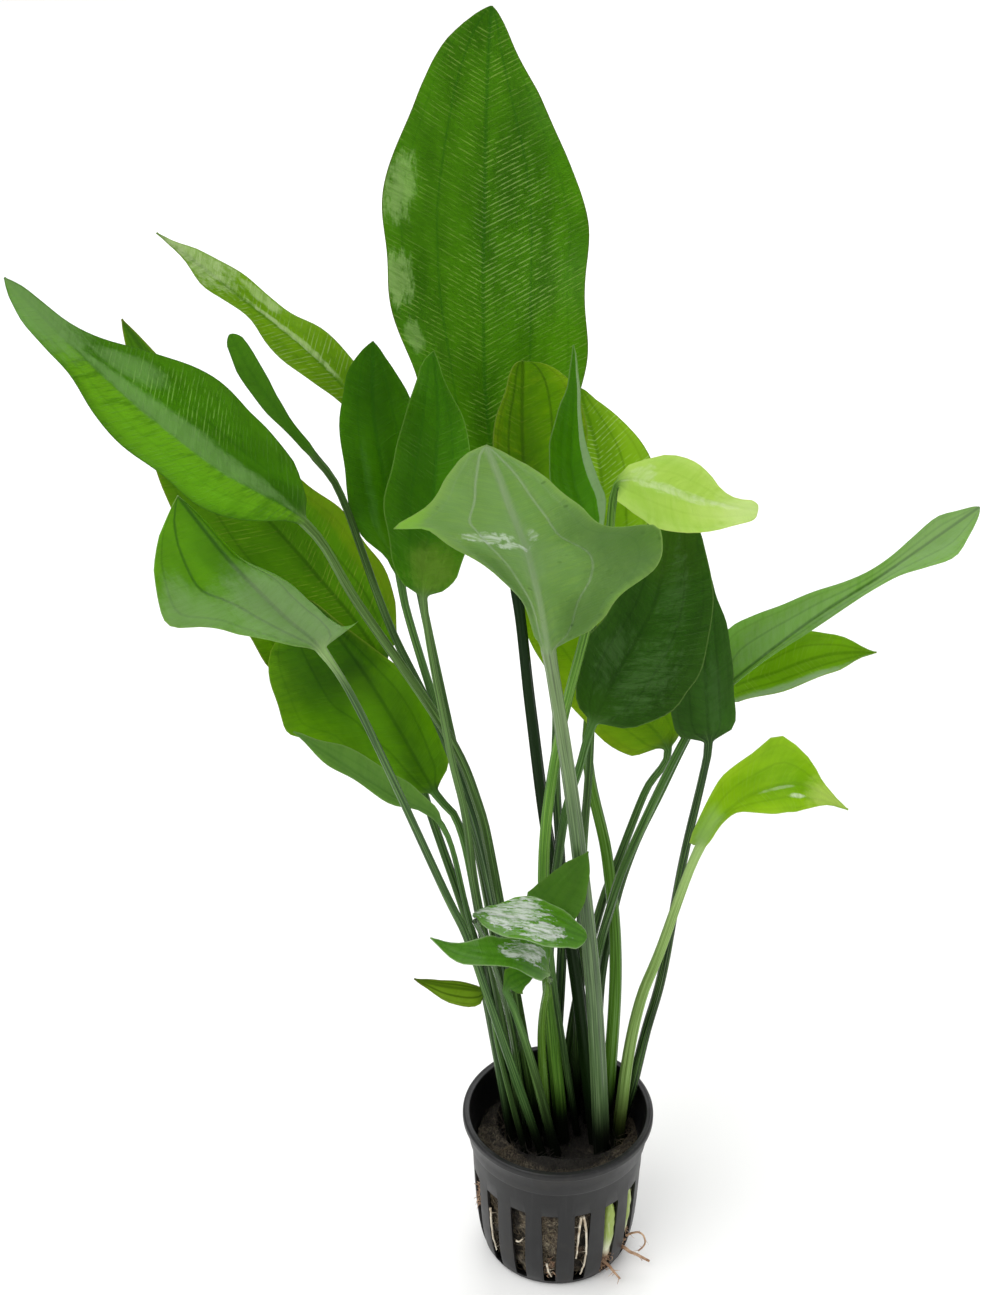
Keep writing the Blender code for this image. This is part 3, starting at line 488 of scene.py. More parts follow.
    def patchMask(centreAcross, centreAlong, halfAcross, halfAlong, strength, fray, core):
        off = addNode(tree, "VectorMath", (flat, (centreAcross, centreAlong, 0)), operation="SUBTRACT")
        off = addNode(tree, "VectorMath", (off, (halfAcross, halfAlong, 1)), operation="DIVIDE")
        far = addNode(tree, "VectorMath", (off, off), "Value", operation="DOT_PRODUCT")
        rough = addNode(tree, "Math", (ragged, fray, -0.5 * fray), operation="MULTIPLY_ADD")
        far = addNode(tree, "Math", (far, rough), operation="ADD")
        return addNode(tree, "MapRange", (far, 1, core, 0, strength), **smooth)

    for key in ("veinGlints", "patches"):
        for *oval, tint in look[key]:
            patch = patchMask(*oval, look["patchFray"], 0)
            if key == "veinGlints":
                patch = addNode(tree, "Math", (patch, strokes), operation="MULTIPLY")
            colour = layered(tree, colour, [(patch, tint)])
    shine = 0.0
    for oval in look["sheen"]:
        patch = patchMask(*oval, look["ragged"], look["sheenCore"])
        shine = addNode(tree, "Math", (shine, patch), operation="MAXIMUM")
    if look["sheen"]:
        breaks = lengthwise if look["sheenAlong"] else streaky
        whole = addNode(tree, "MapRange", (breaks, 0.38, 0.66, 1, 1 - look["sheenStreak"]), **smooth)
        shine = addNode(tree, "Math", (shine, whole), operation="MULTIPLY")
        if not look["sheenUnder"]:
            shine = addNode(tree, "Math", (shine, topSide), operation="MULTIPLY")
        colour = layered(tree, colour, [(shine, look["sheenColour"])])
    if look["specks"]:
        dots = addNode(tree, "TexVoronoi", {"Vector": spot, "Scale": scaleFor(look["speckSize"])})
        dots = addNode(tree, "MapRange", (dots, 0.22, 0.10, 0, look["specks"]), **smooth)
        sparse = addNode(tree, "MapRange", (patchy, 0.5, 0.62), **smooth)
        dots = addNode(tree, "Math", (dots, sparse), operation="MULTIPLY")
        colour = layered(tree, colour, [(dots, look["speck"])])

    # the thin margin, and the stalk with its lengthwise ridges, pale streaks that are partly painted
    # highlights, and painted shade where it goes down into the pot and the plug
    edgeMm = addNode(tree, "Math", (width, outMm), operation="SUBTRACT")
    edgeLine = addNode(tree, "MapRange", (edgeMm, 0.45, 0.1, 0, 0.8), **smooth)
    edgeLine = addNode(tree, "Math", (edgeLine, blade), operation="MULTIPLY")
    ridges = addNode(tree, "CombineXYZ", (turn, alongMm, seed))
    ridges = addNode(tree, "VectorMath", (ridges, look["ridgePitch"]), operation="MULTIPLY")
    streak = addNode(tree, "TexNoise", {"Vector": ridges, "Scale": 1.6, "Detail": 3.0})
    stalk = layered(tree, look["stalk"], [
        (stalkShare, look["topFrom"], 1, 1, look["stalkTop"]), (streak, 0.5, 0.64, 0.42, look["streak"]),
        (streak, 0.5, 0.32, 0.5, look["foot"]), (heightM, *look["footFade"], 1, look["foot"]),
        (heightM, *look["plugFade"], 0.9, look["plugShade"])], **smooth)
    colour = layered(tree, colour, [(edgeLine, look["margin"])])
    colour = layered(tree, stalk, [(blade, colour)])

    dents = addNode(tree, "Math", (ribMask, strokes), operation="MAXIMUM")
    dents = addNode(tree, "Math", (dents, -1, 1), operation="MULTIPLY_ADD")
    relief = addNode(tree, "Math", (streak, dents), operation="ADD")
    bump = addNode(tree, "Bump", {"Height": relief, "Strength": 0.35, "Distance": 0.00012})
    roughness = addNode(tree, "MapRange",
                        (patchy, 0.3, 0.7, look["roughness"] - 0.07, look["roughness"] + 0.09))
    skin = addNode(tree, "BsdfPrincipled", {
        "Base Color": colour, "Roughness": roughness, "IOR": 1.45, "Specular IOR Level": look["gloss"],
        "Coat Weight": look["wet"], "Coat Roughness": 0.08, "Normal": bump})
    glow = layered(tree, through, [
        (addNode(tree, "Math", (ribMask, 0.7), operation="MULTIPLY"), look["rib"]),
        (addNode(tree, "Math", (veinMask, 0.6), operation="MULTIPLY"), crossVein),
        (*clouds, look["clouds"] * 0.5, ground)], **smooth)
    inner = addNode(tree, "BsdfTranslucent", {"Color": glow, "Normal": bump})
    thin = addNode(tree, "Math", (blade, look["lightThrough"]), operation="MULTIPLY")
    body = addNode(tree, "MixShader", (thin, skin, inner))
    addNode(tree, "OutputMaterial", (body,), None)
    return material


footHeight = 31.5  # mm, where every stalk stands in the plug
# foot, stalk: centre line up to the blade, mm.  spine: the midrib on to the tip.
# left, right: half widths at widthPlaces (5 values) or finePlaces (11), on the upper side, tip up.
# face, tipFace: where the upper side looks.  fold: rise of the left and right half, degrees.
# lobe: how far each half reaches back at its base.  growth: low for a round base.
# taper: low for a round tip.  wave: how many, height and phase of the waves in the blade.
# horns: pointed ears, each a side, its place, its spread, how far out and how far up.
# edgeRipple: how many and how deep.  swell: thicker stalk at the joint.  thin: how far it thins.
leafDefaults = {"lobe": (0, 0), "fold": (5, 5), "growth": 0.6, "taper": 0.8, "swell": 0.12, "thin": 0.45,
                "horns": (), "edgeRipple": (4.0, 0.35)}
leaves = {
    "leaf_tall_back": dict(
        foot=(11.4, 5.6), stalk=[(4, 12, 95), (-3.5, 15, 135), (-8.6, 18.5, 176), (-12.5, 24, 210)],
        spine=[(-20, 42, 250), (-21, 60, 294), (-19, 80, 348)],
        left=(3, 8.5, 13, 15.3, 17.8, 21, 24.7, 26, 23, 18.2, 11),
        right=(9, 14, 19.5, 23, 25.7, 26.3, 26.8, 26, 21.7, 13, 6), face=(0, -0.9, 0.4),
        tipFace=(0, -0.9, 0.3), fold=(8, 8), growth=0.7, taper=0.7, diameter=3.4, wave=(4, 1.3, 0.4),
        edgeRipple=(4.5, 0.8),
        look=dict(greens="#376406 #265003 #4b8410 #94c138 #8fb04f", veins=(0.8, 0.4, 0.5),
            # painted shade: the near-black stalk greens stand for the shade under the leaves
            margin="#5c5a30", stalk="#16290c", stalkTop="#1a3014",
            sheen=((-0.9, 0.6, 0.2, 0.055, 1), (-0.85, 0.74, 0.2, 0.06, 0.85),
                (-0.84, 0.5, 0.12, 0.035, 0.7)), sheenColour="#a0c274", sheenStreak=0.45,
            streak="#22381e",
            veinGlints=((0.35, 0.66, 0.6, 0.2, 0.75, "#9cb86c"), (0.5, 0.3, 0.5, 0.18, 0.9, "#9cba58")),
            patches=((0.8, 0.4, 0.4, 0.25, 0.35, "#5c9414"),))),
    "leaf_far_left": dict(
        foot=(-4.9, 9.7),
        stalk=[(-18, 1, 132), (-23, -1, 161), (-31, -2, 184), (-52, -7, 226), (-64, -10, 251)],
        spine=[(-87, -8, 267), (-113, 0, 288), (-134, 8, 308)],
        left=(2.5, 6, 10.5, 12.5, 12, 12, 9.8, 6.5, 6.3, 5.8, 3.3),
        right=(6, 11.3, 15, 17.5, 18.5, 16.5, 12.5, 7.5, 4.5, 3, 1.8), face=(0.35, -0.5, 0.8),
        fold=(8, 10), lobe=(2, 2), growth=0.5, diameter=2.7, wave=(2, 0.8, 1),
        look=dict(greens="#3b6a04 #2f5a03 #4c7c10 #98cc38 #6f9c48", veins=(0.4, 0.15, 0.25),
            leftGround="#78b41e", margin="#3d5c22", stalk="#38561f", stalkTop="#527034", roughness=0.3,
            sheen=((0.12, 0.42, 0.2, 0.5, 0.75), (0.1, 0.92, 1.6, 0.24, 0.85),
                (0.55, 0.62, 0.3, 0.12, 0.6)), ragged=1.4, sheenStreak=0.25, sheenColour="#86ab68",
            veinGlints=((0.5, 0.5, 0.5, 0.25, 0.9, "#86b04e"),),
            patches=((-0.6, 0.4, 0.5, 0.28, 0.6, "#74b41c"), (0.1, 0.95, 1.6, 0.3, 0.6, "#7a9c58")))),
    "leaf_upper_left": dict(
        foot=(-8.8, 16.8),
        stalk=[(-21, 19, 118), (-26, 18, 146), (-35, 19, 198), (-41, 22, 233), (-45, 24, 254)],
        spine=[(-62, 32, 273), (-82, 42, 286), (-103, 50, 300)],
        left=(2.3, 3.3, 4, 6, 7, 5.8, 3.5, 3.8, 4, 1.3, 0.6),
        right=(5.8, 5.8, 6.3, 6.8, 6.3, 4.8, 5, 5, 4, 3, 1), face=(0.3, -0.6, 0.7), fold=(10, 15),
        growth=0.7, diameter=2.4, wave=(3, 0.6, 0),
        look=dict(greens="#6c940a #4c7608 #709714 #b5d648 #b4cc80", veins=(0.6, 0.1, 0.5), rib="#3c6a12",
            margin="#6a8040", stalk="#3e592a",
            sheen=((0.1, 0.45, 0.14, 0.24, 0.9), (0.3, 0.9, 1.6, 0.24, 1), (0.7, 0.62, 0.3, 0.12, 0.7)),
            sheenColour="#bdd098", sheenStreak=0.55)),
    "leaf_spoon": dict(
        foot=(-8.3, 12.2),
        stalk=[(-19, 6, 128), (-31, 4, 176), (-45, 5, 212), (-56, 6, 249), (-62, 6, 260)],
        spine=[(-70, 7, 271), (-76, 9, 280), (-82, 12, 291)],
        left=(1.3, 1.3, 1.4, 1.8, 2.5, 2.8, 3, 3.3, 3.5, 2.8, 2.3),
        right=(1.3, 1.3, 1.3, 1.5, 2, 2.3, 2.8, 3, 3, 2.8, 2.3), face=(0.5, -0.8, 0.2), fold=(10, 10),
        growth=1, taper=0.5, diameter=2.2, wave=(1, 0.2, 0),
        look=dict(greens="#4c7e15 #3a6710 #46751e #93c147 #709f4d", veins=(0.1, 0, 0.15),
            margin="#3d5a2a", stalk="#344e2d", stalkTop="#304c18", roughness=0.5)),
    "leaf_centre_left_rear": dict(
        foot=(-4.6, 14.3),
        stalk=[(-20, 11, 124), (-26, 9, 153), (-32, 8, 178), (-40, 7, 212), (-42, 6, 225)],
        spine=[(-45, 10, 246), (-48, 15, 266), (-48, 20, 285)],
        left=(1.8, 3, 7.8, 10, 9.8, 9.3, 9, 8.5, 7.5, 6.5, 3.8),
        right=(3.8, 7.5, 9, 10.5, 11, 11.8, 11.5, 10.3, 8.5, 5.5, 2.5), face=(0.2, -0.9, 0.3),
        fold=(6, 10), diameter=2.4, wave=(2, 0.6, 0.5),
        look=dict(greens="#3b6b03 #2b5802 #447609 #8dc232 #62913c", veins=(0.15, 0.2, 0.35),
            margin="#466a20", stalk="#38512d", roughness=0.42, sheen=((-0.4, 0.35, 0.15, 0.3, 0.3),),
            sheenColour="#5d8448", patches=((0, 0.1, 1.2, 0.22, 0.6, "#5a8a10"),))),
    "leaf_centre_left_front": dict(
        foot=(-8.8, 8),
        stalk=[(-17, 1, 90), (-23, -4, 131), (-26, -7, 161), (-30, -7, 183), (-36, -2, 224)],
        spine=[(-34, 1, 246), (-32, 7, 268), (-33, 13, 286)],
        left=(5.8, 8.3, 10, 11, 11.8, 11, 10, 8.5, 6.8, 5, 3.5),
        right=(6.8, 9.5, 10, 10.3, 10.5, 10, 9, 7, 4.5, 2.5, 1.3), face=(-0.2, -0.9, 0.3),
        tipFace=(-0.3, -0.9, 0.3), fold=(10, 10), lobe=(0, 1), growth=0.5, diameter=2.1,
        look=dict(greens="#3e7304 #316202 #497e0a #96ca37 #89ae51", veins=(0.2, 0.2, 0.3),
            margin="#6f9440", stalk="#3e592b", stalkTop="#56733c", roughness=0.42,
            # painted glow: the pale oval and the patch near the base stand for light shining through the leaf
            sheen=((0.1, 0.1, 0.9, 0.12, 0.65), (0.5, 0.3, 0.2, 0.12, 0.3)), sheenColour="#6f9430",
            patches=((0.3, 0.12, 1, 0.16, 0.7, "#6c8c28"),))),
    "leaf_front_large": dict(
        foot=(13.2, -0.2), stalk=[(9, -6, 100), (3, -12, 160), (-2, -18, 200), (-5, -22, 222)],
        spine=[(-9, -38, 254), (-15, -60, 286), (-20, -85, 315)],
        left=(10.5, 15.3, 20, 28, 30, 17.8, 14.5, 11.5, 9.3, 6.5, 3.3),
        right=(3, 3.5, 4.5, 8, 12.5, 18.5, 21.5, 15.5, 12, 7.8, 4.3), face=(0, 0.9, 0.3),
        tipFace=(0, 0.8, 0.6), growth=1, diameter=4, wave=(1.5, 0.6, 0),
        horns=((1, 0.6, 0.028, 6.5, -2), (-1, 0.425, 0.035, 2.2, 2.6)),
        look=dict(greens="#74a12c #5e8e22 #a1c74e #aacc6c #b9d3a0", veins=(0.25, 0.8, 0.75),
            under="#729a55", outerRib=0.2, margin="#8fae5c", specks=0.9, midribWidth=1.3, stalk="#4e683e",
            stalkTop="#728b58", topFrom=0.6, streak="#8da474", gloss=0.3, underVeins=0.8,
            sheen=((0.42, 0.515, 0.36, 0.03, 1), (0.18, 0.475, 0.24, 0.018, 0.9),
                (-0.14, 0.52, 0.09, 0.03, 0.6)), sheenColour="#e6efe2", sheenUnder=True, sheenStreak=0.85,
            ragged=3.2, sheenCore=0.2,
            patches=((-0.8, 0.42, 0.5, 0.26, 0.9, "#4a6e30"), (-0.6, 0.14, 0.5, 0.16, 0.7, "#4f7432"),
                (0.75, 0.3, 0.35, 0.22, 0.75, "#4f7434"), (1, 0.6, 0.2, 0.06, 0.95, "#92c83c"),
                (0.1, 0.45, 0.5, 0.2, 0.35, "#88a878")))),
    "leaf_left_rear": dict(
        foot=(-12.8, 6.8),
        stalk=[(-22, 8, 95), (-27, 10, 116), (-33, 13, 136), (-37, 15, 150), (-47, 18, 191)],
        spine=[(-66, 25, 216), (-88, 32, 244), (-112, 40, 281)],
        left=(21.5, 23.5, 24.7, 23.3, 22.8, 22, 19.7, 16, 12, 8, 3.3),
        right=(7.3, 11.3, 14.8, 15.5, 15.8, 13.8, 12.5, 10.8, 8.3, 3.5, 1.5), face=(0.2, -0.9, 0.3),
        fold=(4, 4), growth=0.5, diameter=2.4, wave=(2.5, 0.8, 0.8),
        look=dict(greens="#4a7a0a #376006 #6c9412 #9cc634 #90a83a", veins=(0.7, 0.4, 0.6),
            leftGround="#3a6406", rib="#2f5208", margin="#93883a", stalk="#314b22",
            patches=((0.2, 0.95, 1.5, 0.12, 0.9, "#3f6a1c"), (-0.5, 0.7, 0.5, 0.2, 0.5, "#3a5c14"),
                (0.9, 0.3, 0.3, 0.3, 0.6, "#8c9c18")))),
    "leaf_left_front": dict(
        foot=(-4, -1.2),
        stalk=[(-19, -7, 94), (-25.5, -13.3, 124), (-31.5, -17.7, 144), (-50, -34, 210), (-59, -40, 234)],
        spine=[(-66, -44, 245), (-73, -47, 256), (-80, -52, 269), (-88, -58, 287)],
        left=(2.3, 3.8, 5.3, 7.5, 10, 12.3, 15.8, 19.8, 18.3, 14.3, 8.8),
        right=(10, 12, 13.8, 13.3, 13, 13.5, 10.3, 5, 3.8, 3, 1.8), face=(0.3, -0.9, 0.3), fold=(8, 60),
        lobe=(0, 2), growth=0.3, diameter=2.1, horns=((1, 0.05, 0.06, 6.5, -3.5),), swell=0.4,
        wave=(2, 0.5, 0),
        look=dict(greens="#5c8c08 #4a7a05 #6a9c16 #a8db45 #90b366", veins=(0.12, 0.7, 0.75),
            rib="#2f5a18", margin="#9ab070", stalk="#38562a", stalkTop="#8aa868", topFrom=0.92,
            roughness=0.32, sheen=((0.1, 0.3, 1.6, 0.44, 0.9), (-0.8, 0.62, 0.4, 0.25, 0.7)),
            sheenColour="#9cb484", ragged=1, sheenStreak=0.2)),
    "leaf_left_low": dict(
        foot=(-12.4, 12.9), stalk=[(-23, 12, 115), (-28, 12, 143), (-34, 12, 153)],
        spine=[(-43, 12, 173), (-53, 13, 193), (-66, 15, 213)],
        left=(4.5, 6.5, 9, 11.5, 16, 19, 24.5, 24.5, 22.8, 19.8, 15),
        right=(2.8, 6.8, 8.8, 10.3, 11.2, 10.8, 8.5, 6, 4, 2.5, 1.5), face=(0.2, -0.9, 0.4), lobe=(0, 2),
        taper=0.5, diameter=2.5,
        look=dict(greens="#437308 #2f5905 #6a9a10 #a9d33c #7ba436", veins=(0.3, 0.35, 0.45),
            rib="#244a06", margin="#8c9c38", stalk="#274120",
            # painted shadow: the dark first patch stands for shade cast on the leaf from above
            patches=((-0.1, 0.63, 0.45, 0.15, 0.8, "#25470c"), (0.7, 0.5, 0.4, 0.3, 0.4, "#5c9008")))),
    "leaf_left_low_narrow": dict(
        foot=(-12.9, 2.2), stalk=[(-21, 2, 94), (-26, -3, 127), (-32, -7, 157)],
        spine=[(-45, -7, 167), (-58, -6, 177), (-70, -4, 185)], left=(1.5, 2, 2.5, 2.5, 1.5),
        right=(3.4, 5.8, 6, 4.4, 1.9), face=(0.3, -0.9, -0.2), tipFace=(0.3, -0.9, 0), growth=0.8,
        diameter=1.7,
        look=dict(greens="#658e3f #557c36 #719b43 #a5ca66 #89ad64", veins=(0.1, 0.1, 0.2),
            margin="#7c9a58", stalk="#38512d", roughness=0.45)),
    "leaf_centre_rear_folded": dict(
        foot=(-1.3, 16.6), stalk=[(1, 20, 100), (-1.5, 23, 150), (-2, 20.5, 178), (-6.5, 18.5, 208)],
        spine=[(-9, 21.5, 232), (-11, 26, 253.5), (-11.3, 30, 274.4)],
        left=(4, 5, 6, 7, 7.5, 8, 7.8, 7.5, 6.3, 4.3, 3.3),
        right=(6, 8, 10, 12, 13.7, 15, 15.8, 16.3, 16, 14, 10.5), face=(-0.1, -0.9, 0.4), fold=(6, 6),
        taper=0.35, diameter=2.5, wave=(2, 0.6, 0.3),
        look=dict(greens="#6a9c06 #507c09 #98b818 #a2cc2e #a8bc40", veins=(0.6, 0.5, 0.5), clouds=0.9,
            rib="#35520c", margin="#8c9a4a", stalk="#273f20")),
    "leaf_centre_narrow": dict(
        foot=(6, 17.7), stalk=[(6, 16, 95), (6, 13, 133), (7, 10, 166), (7, 9, 205), (6, 8, 235)],
        spine=[(1, 10, 254), (1, 14, 268), (1, 20, 284)],
        left=(3, 4, 5.5, 6, 5.5, 5.5, 4.8, 3.8, 1.8, 1, 0.5),
        right=(5, 7, 9.5, 8.8, 7, 5, 3.5, 2.5, 2.3, 1.3, 1), face=(-0.3, -0.9, 0.2), fold=(10, 25),
        growth=0.7, diameter=2.2, wave=(2, 0.4, 0),
        look=dict(greens="#457a05 #376905 #51850c #92c837 #78a54f", veins=(0.12, 0.1, 0.2),
            margin="#7c9a5a", stalk="#3c542b", sheen=((0.95, 0.6, 0.5, 0.6, 1),), sheenColour="#9fb58c",
            ragged=0.3, sheenStreak=0.1, sheenCore=0.9)),
    "leaf_right_rear": dict(
        foot=(14.2, 10.1), stalk=[(16, 13, 89), (13, 18, 126), (7, 26, 159), (12, 34, 201)],
        spine=[(11, 40, 219), (9, 46, 237), (4, 52, 255)],
        left=(6, 8, 10, 12, 12.2, 12, 12, 11.5, 10.5, 8.5, 6.8),
        right=(6, 8, 10, 12, 12.5, 13.5, 14, 12.3, 9, 5.5, 2.5), face=(0.1, -0.9, 0.4), fold=(6, 6),
        taper=0.6, diameter=3.1, wave=(3, 0.7, 0),
        look=dict(greens="#90b82c #6a9818 #a4c83c #c1e44a #dcf09c", veins=(0.95, 0.35, 0.4), clouds=0.9,
            mottle=0.35, margin="#7c8a44", stalk="#4e7a1e", stalkTop="#557a24")),
    "leaf_pale": dict(
        foot=(1.7, 6.5),
        stalk=[(-3, 3, 92), (-5, -2, 142), (-2, -6, 182), (4, -9, 217), (9, -12, 242), (11, -14, 264)],
        spine=[(20, -17, 266), (30, -20, 264), (44, -22, 262)],
        left=(3, 3.8, 5.8, 7.8, 8.6, 8.6, 8, 6.5, 3.6, 2.4, 2.6),
        right=(4.5, 6.8, 8.5, 10, 11, 11, 10.3, 9.3, 7.8, 5.5, 3.8), face=(-0.2, -0.5, 0.85),
        tipFace=(0, -0.5, 0.85), lobe=(5, 9), growth=0.45, taper=0.3, diameter=3.3, thin=0.68,
        edgeRipple=(2, 0.1), wave=(1.5, 0.6, 0),
        look=dict(greens="#b0d460 #9cc648 #c0de7c #e4f0a0 #d8ee90", veins=(0.12, 0.12, 0.2),
            under="#a9d16d", rib="#86b02c", margin="#b8d070", stalk="#5c8c30", stalkTop="#4a7424",
            roughness=0.4, sheen=((0.05, 0.5, 0.16, 0.5, 0.6), (-0.3, 0.2, 0.5, 0.12, 0.45)),
            sheenColour="#e6f0d0", streak="#9cc45c",
            patches=((0, 0.95, 1.6, 0.22, 0.85, "#d4e8a4"), (0.3, 0.75, 0.5, 0.16, 0.5, "#c8e088")))),
    "leaf_right_dark": dict(
        foot=(-0.7, 12.3), stalk=[(-3, 10, 97), (0, 5, 147), (4, 1, 170), (7, -2, 186)],
        spine=[(14, 0, 203), (22, 4, 220), (27, 13, 246)],
        left=(4.5, 7, 9.5, 11, 11.5, 10.3, 9.8, 9, 8, 6.5, 4.5),
        right=(7, 11, 15.3, 18, 18.8, 18.2, 16.8, 14.6, 12, 8.8, 5.4), face=(-0.1, -0.9, 0.3),
        tipFace=(0, -0.9, 0.3), lobe=(2, 2), growth=0.4, diameter=2.5, wave=(2, 0.5, 0),
        look=dict(greens="#335616 #23430e #3a5e1c #70a13a #5a8040", veins=(0.3, 0.3, 0.3), rib="#1c380a",
            margin="#6f8c48", stalk="#384e2d",
            sheen=((0.4, 0.32, 0.45, 0.26, 0.6), (-0.3, 0.35, 0.35, 0.2, 0.5),
                (0.3, 0.72, 0.3, 0.16, 0.5)), sheenColour="#587a44", sheenStreak=0.95, ragged=5,
            patches=((0, 0.88, 1.2, 0.2, 0.6, "#466c14"), (-0.2, 0.1, 1, 0.14, 0.5, "#3d6a14")))),
    "leaf_right_dark_rear": dict(
        foot=(17.2, 7),
        stalk=[(21.2, 7, 50), (25, 10, 70), (29, 10, 92), (33, 8, 133), (37, 7, 162), (38, 6, 174)],
        spine=[(37, 10, 188), (36, 16, 204), (37, 20, 219)], left=(9, 10, 10, 7.5, 4),
        right=(7, 7.5, 7.3, 5.8, 2.3), face=(0.2, -0.9, 0.3), lobe=(2, 2), growth=0.35, diameter=2.5,
        wave=(2, 0.4, 0),
        look=dict(greens="#436628 #31531a #4a6d30 #76aa41 #668e4c", veins=(0.15, 0.3, 0.3), rib="#223e12",
            margin="#4f6c34", stalk="#1d3215", stalkTop="#284220", sheen=((0.3, 0.3, 0.4, 0.25, 0.5),),
            sheenColour="#5a7c48")),
    "leaf_right_under": dict(
        foot=(2, 19.8),
        stalk=[(5, 20.5, 69), (11.5, 22, 105), (17, 22.5, 125), (23, 20.5, 148), (28.2, 16, 165)],
        spine=[(17, 19, 179), (3.6, 27, 196), (-11, 35, 215.3)], left=(9, 12, 12.7, 12, 9),
        right=(9, 14, 15, 13, 8), face=(0, -0.9, 0.4), fold=(3, 3), lobe=(0, 2), growth=0.35, taper=0.6,
        diameter=2.4,
        look=dict(greens="#7a9c14 #5c8410 #9cb220 #b1d73c #94b143", veins=(0.3, 0.25, 0.3),
            margin="#8c9c3c", stalk="#3a512b")),
    "leaf_far_right": dict(
        foot=(9.2, 14.2),
        stalk=[(9.5, 14.5, 83), (14, 9, 118), (19, 11, 135), (32.5, 12, 172), (41.7, 15, 185)],
        spine=[(63, 18, 204), (83, 19, 219), (105, 20, 238)],
        left=(8, 12.5, 11.3, 8.8, 6.5, 4.4, 3.4, 3.5, 4.3, 4.7, 2.4),
        right=(1.6, 1.8, 2.3, 3, 3.3, 3.3, 3.3, 4.3, 7.5, 10.2, 6), face=(-0.35, -0.35, 0.87),
        fold=(10, 15), growth=0.7, taper=0.6, diameter=2.5, wave=(2, 0.4, 0),
        look=dict(greens="#8cb058 #6a9a3c #90b866 #a9d856 #a4cb7d", veins=(0.2, 0.35, 0.8),
            leftGround="#88b05a", rib="#2f5420", margin="#7c9c64", clouds=1, stalk="#3c5a2a",
            roughness=0.34, sheen=((0.5, 0.6, 0.5, 0.45, 0.6), (-0.3, 0.3, 0.5, 0.3, 0.4)),
            sheenColour="#9ab488", sheenStreak=0.4, patches=((0, 0.88, 1.5, 0.3, 0.5, "#a4b890"),))),
    "leaf_far_right_under": dict(
        foot=(12.9, 15.6),
        stalk=[(12, 19.3, 73), (15, 18.9, 105), (19.5, 19.5, 126), (26, 19.5, 145), (40, 25, 174)],
        spine=[(58, 24, 185), (71, 24, 190), (83, 24, 191)], left=(6, 8, 9, 5.5, 2),
        right=(5.5, 5.8, 6.5, 4.8, 1.8), face=(-0.25, -0.5, 0.8), growth=0.7, diameter=2.2,
        look=dict(greens="#7aa416 #608c10 #7fae1d #b5df41 #b3ce53", veins=(0.8, 0.3, 0.4), rib="#3c6408",
            margin="#8a9a4a", stalk="#384f2d", patches=((0.95, 0.35, 0.36, 0.6, 1, "#aab4a8"),))),
    "leaf_right_low": dict(
        foot=(17.4, 2.6), stalk=[(19.6, 2.6, 66), (22.6, 2, 89), (27.2, 1, 107), (36.5, 0, 144)],
        spine=[(46, -3, 162), (60, -6, 170), (74, -8, 163)],
        left=(3.5, 4.5, 6.3, 8, 9, 10.3, 12.8, 7.8, 3.6, 2, 1),
        right=(1.9, 1.9, 1.9, 2.4, 5.2, 7.3, 8, 8, 5.8, 2.3, 0.8), face=(-0.4, -0.6, 0.7),
        tipFace=(0.3, -0.6, 0.8), lobe=(9, 0), growth=0.3, diameter=3, wave=(1.5, 0.6, 0),
        look=dict(greens="#85b60a #6da106 #9dc62c #d3eb5c #bed671", veins=(0.2, 0.3, 0.35),
            under="#99be5d", rib="#6a9420", margin="#a4bc5c", stalk="#799a4e", stalkTop="#98b869",
            streak="#a8c47c", foot="#4c5a24",
            sheen=((0.42, 0.68, 0.1, 0.07, 1), (0.1, 0.55, 0.08, 0.14, 0.35)), sheenColour="#f4fae4",
            ragged=2.4, clouds=1,
            patches=((0, 0.08, 1.2, 0.18, 0.7, "#a4c480"), (0, 0.9, 1.4, 0.2, 0.8, "#d2e47a"),
                (-0.1, 0.42, 0.45, 0.16, 0.45, "#6c9c0a")))),
    "leaf_small_upright": dict(
        foot=(6, 8.9), stalk=[(-1, -1, 91), (-3, -5, 113), (-5, -9, 128)],
        spine=[(-1, -13, 140), (3, -15, 148), (6, -17, 156)],
        left=(5, 6.5, 5.8, 5.5, 4.8, 4.5, 4, 3.8, 2.8, 1.5, 0.6),
        right=(6.5, 7, 8, 7.8, 7.3, 6.5, 5, 3.8, 2.8, 1.5, 0.6), face=(-0.2, -0.9, 0.3), diameter=1.7,
        wave=(1, 0.3, 0),
        look=dict(greens="#57802b #477021 #608a32 #89ba43 #9fcf62", veins=(0.05, 0.1, 0.1),
            margin="#5f8038", stalk="#2f4722", roughness=0.45)),
    "leaf_small_wet": dict(
        foot=(-8.1, 3.1), stalk=[(-13, 0, 76), (-17, -4, 101), (-21, -9, 120), (-23.5, -14, 132.5)],
        spine=[(-14, -18, 135), (-4, -22, 136), (6, -24, 133)],
        left=(3.2, 3.2, 4, 6.5, 7.5, 7.8, 7, 6, 5.3, 4, 3),
        right=(2, 3.3, 4.5, 5.3, 5.8, 6, 6, 6, 5.5, 4.5, 3.8), face=(0, -0.4, 0.9),
        tipFace=(0.1, -0.4, 0.9), fold=(-8, -8), lobe=(1, 1), taper=0.5, diameter=1.7, wave=(2.5, 0.5, 0),
        look=dict(greens="#609924 #477c15 #76aa3f #9ecf48 #8db364", veins=(0.2, 0.35, 0.35),
            rib="#376018", margin="#a8bc90", stalk="#3e592b", roughness=0.16, wet=0.9,
            sheen=((-0.15, 0.34, 0.85, 0.3, 1), (0.35, 0.62, 0.5, 0.22, 0.95)), sheenColour="#ffffff",
            sheenStreak=0.85, sheenAlong=True, ragged=5.5, sheenCore=0.55)),
    "leaf_small_pointed": dict(
        foot=(-2.5, 4.9), stalk=[(-5, 0, 76), (-4, -9, 102), (-4, -14, 112)],
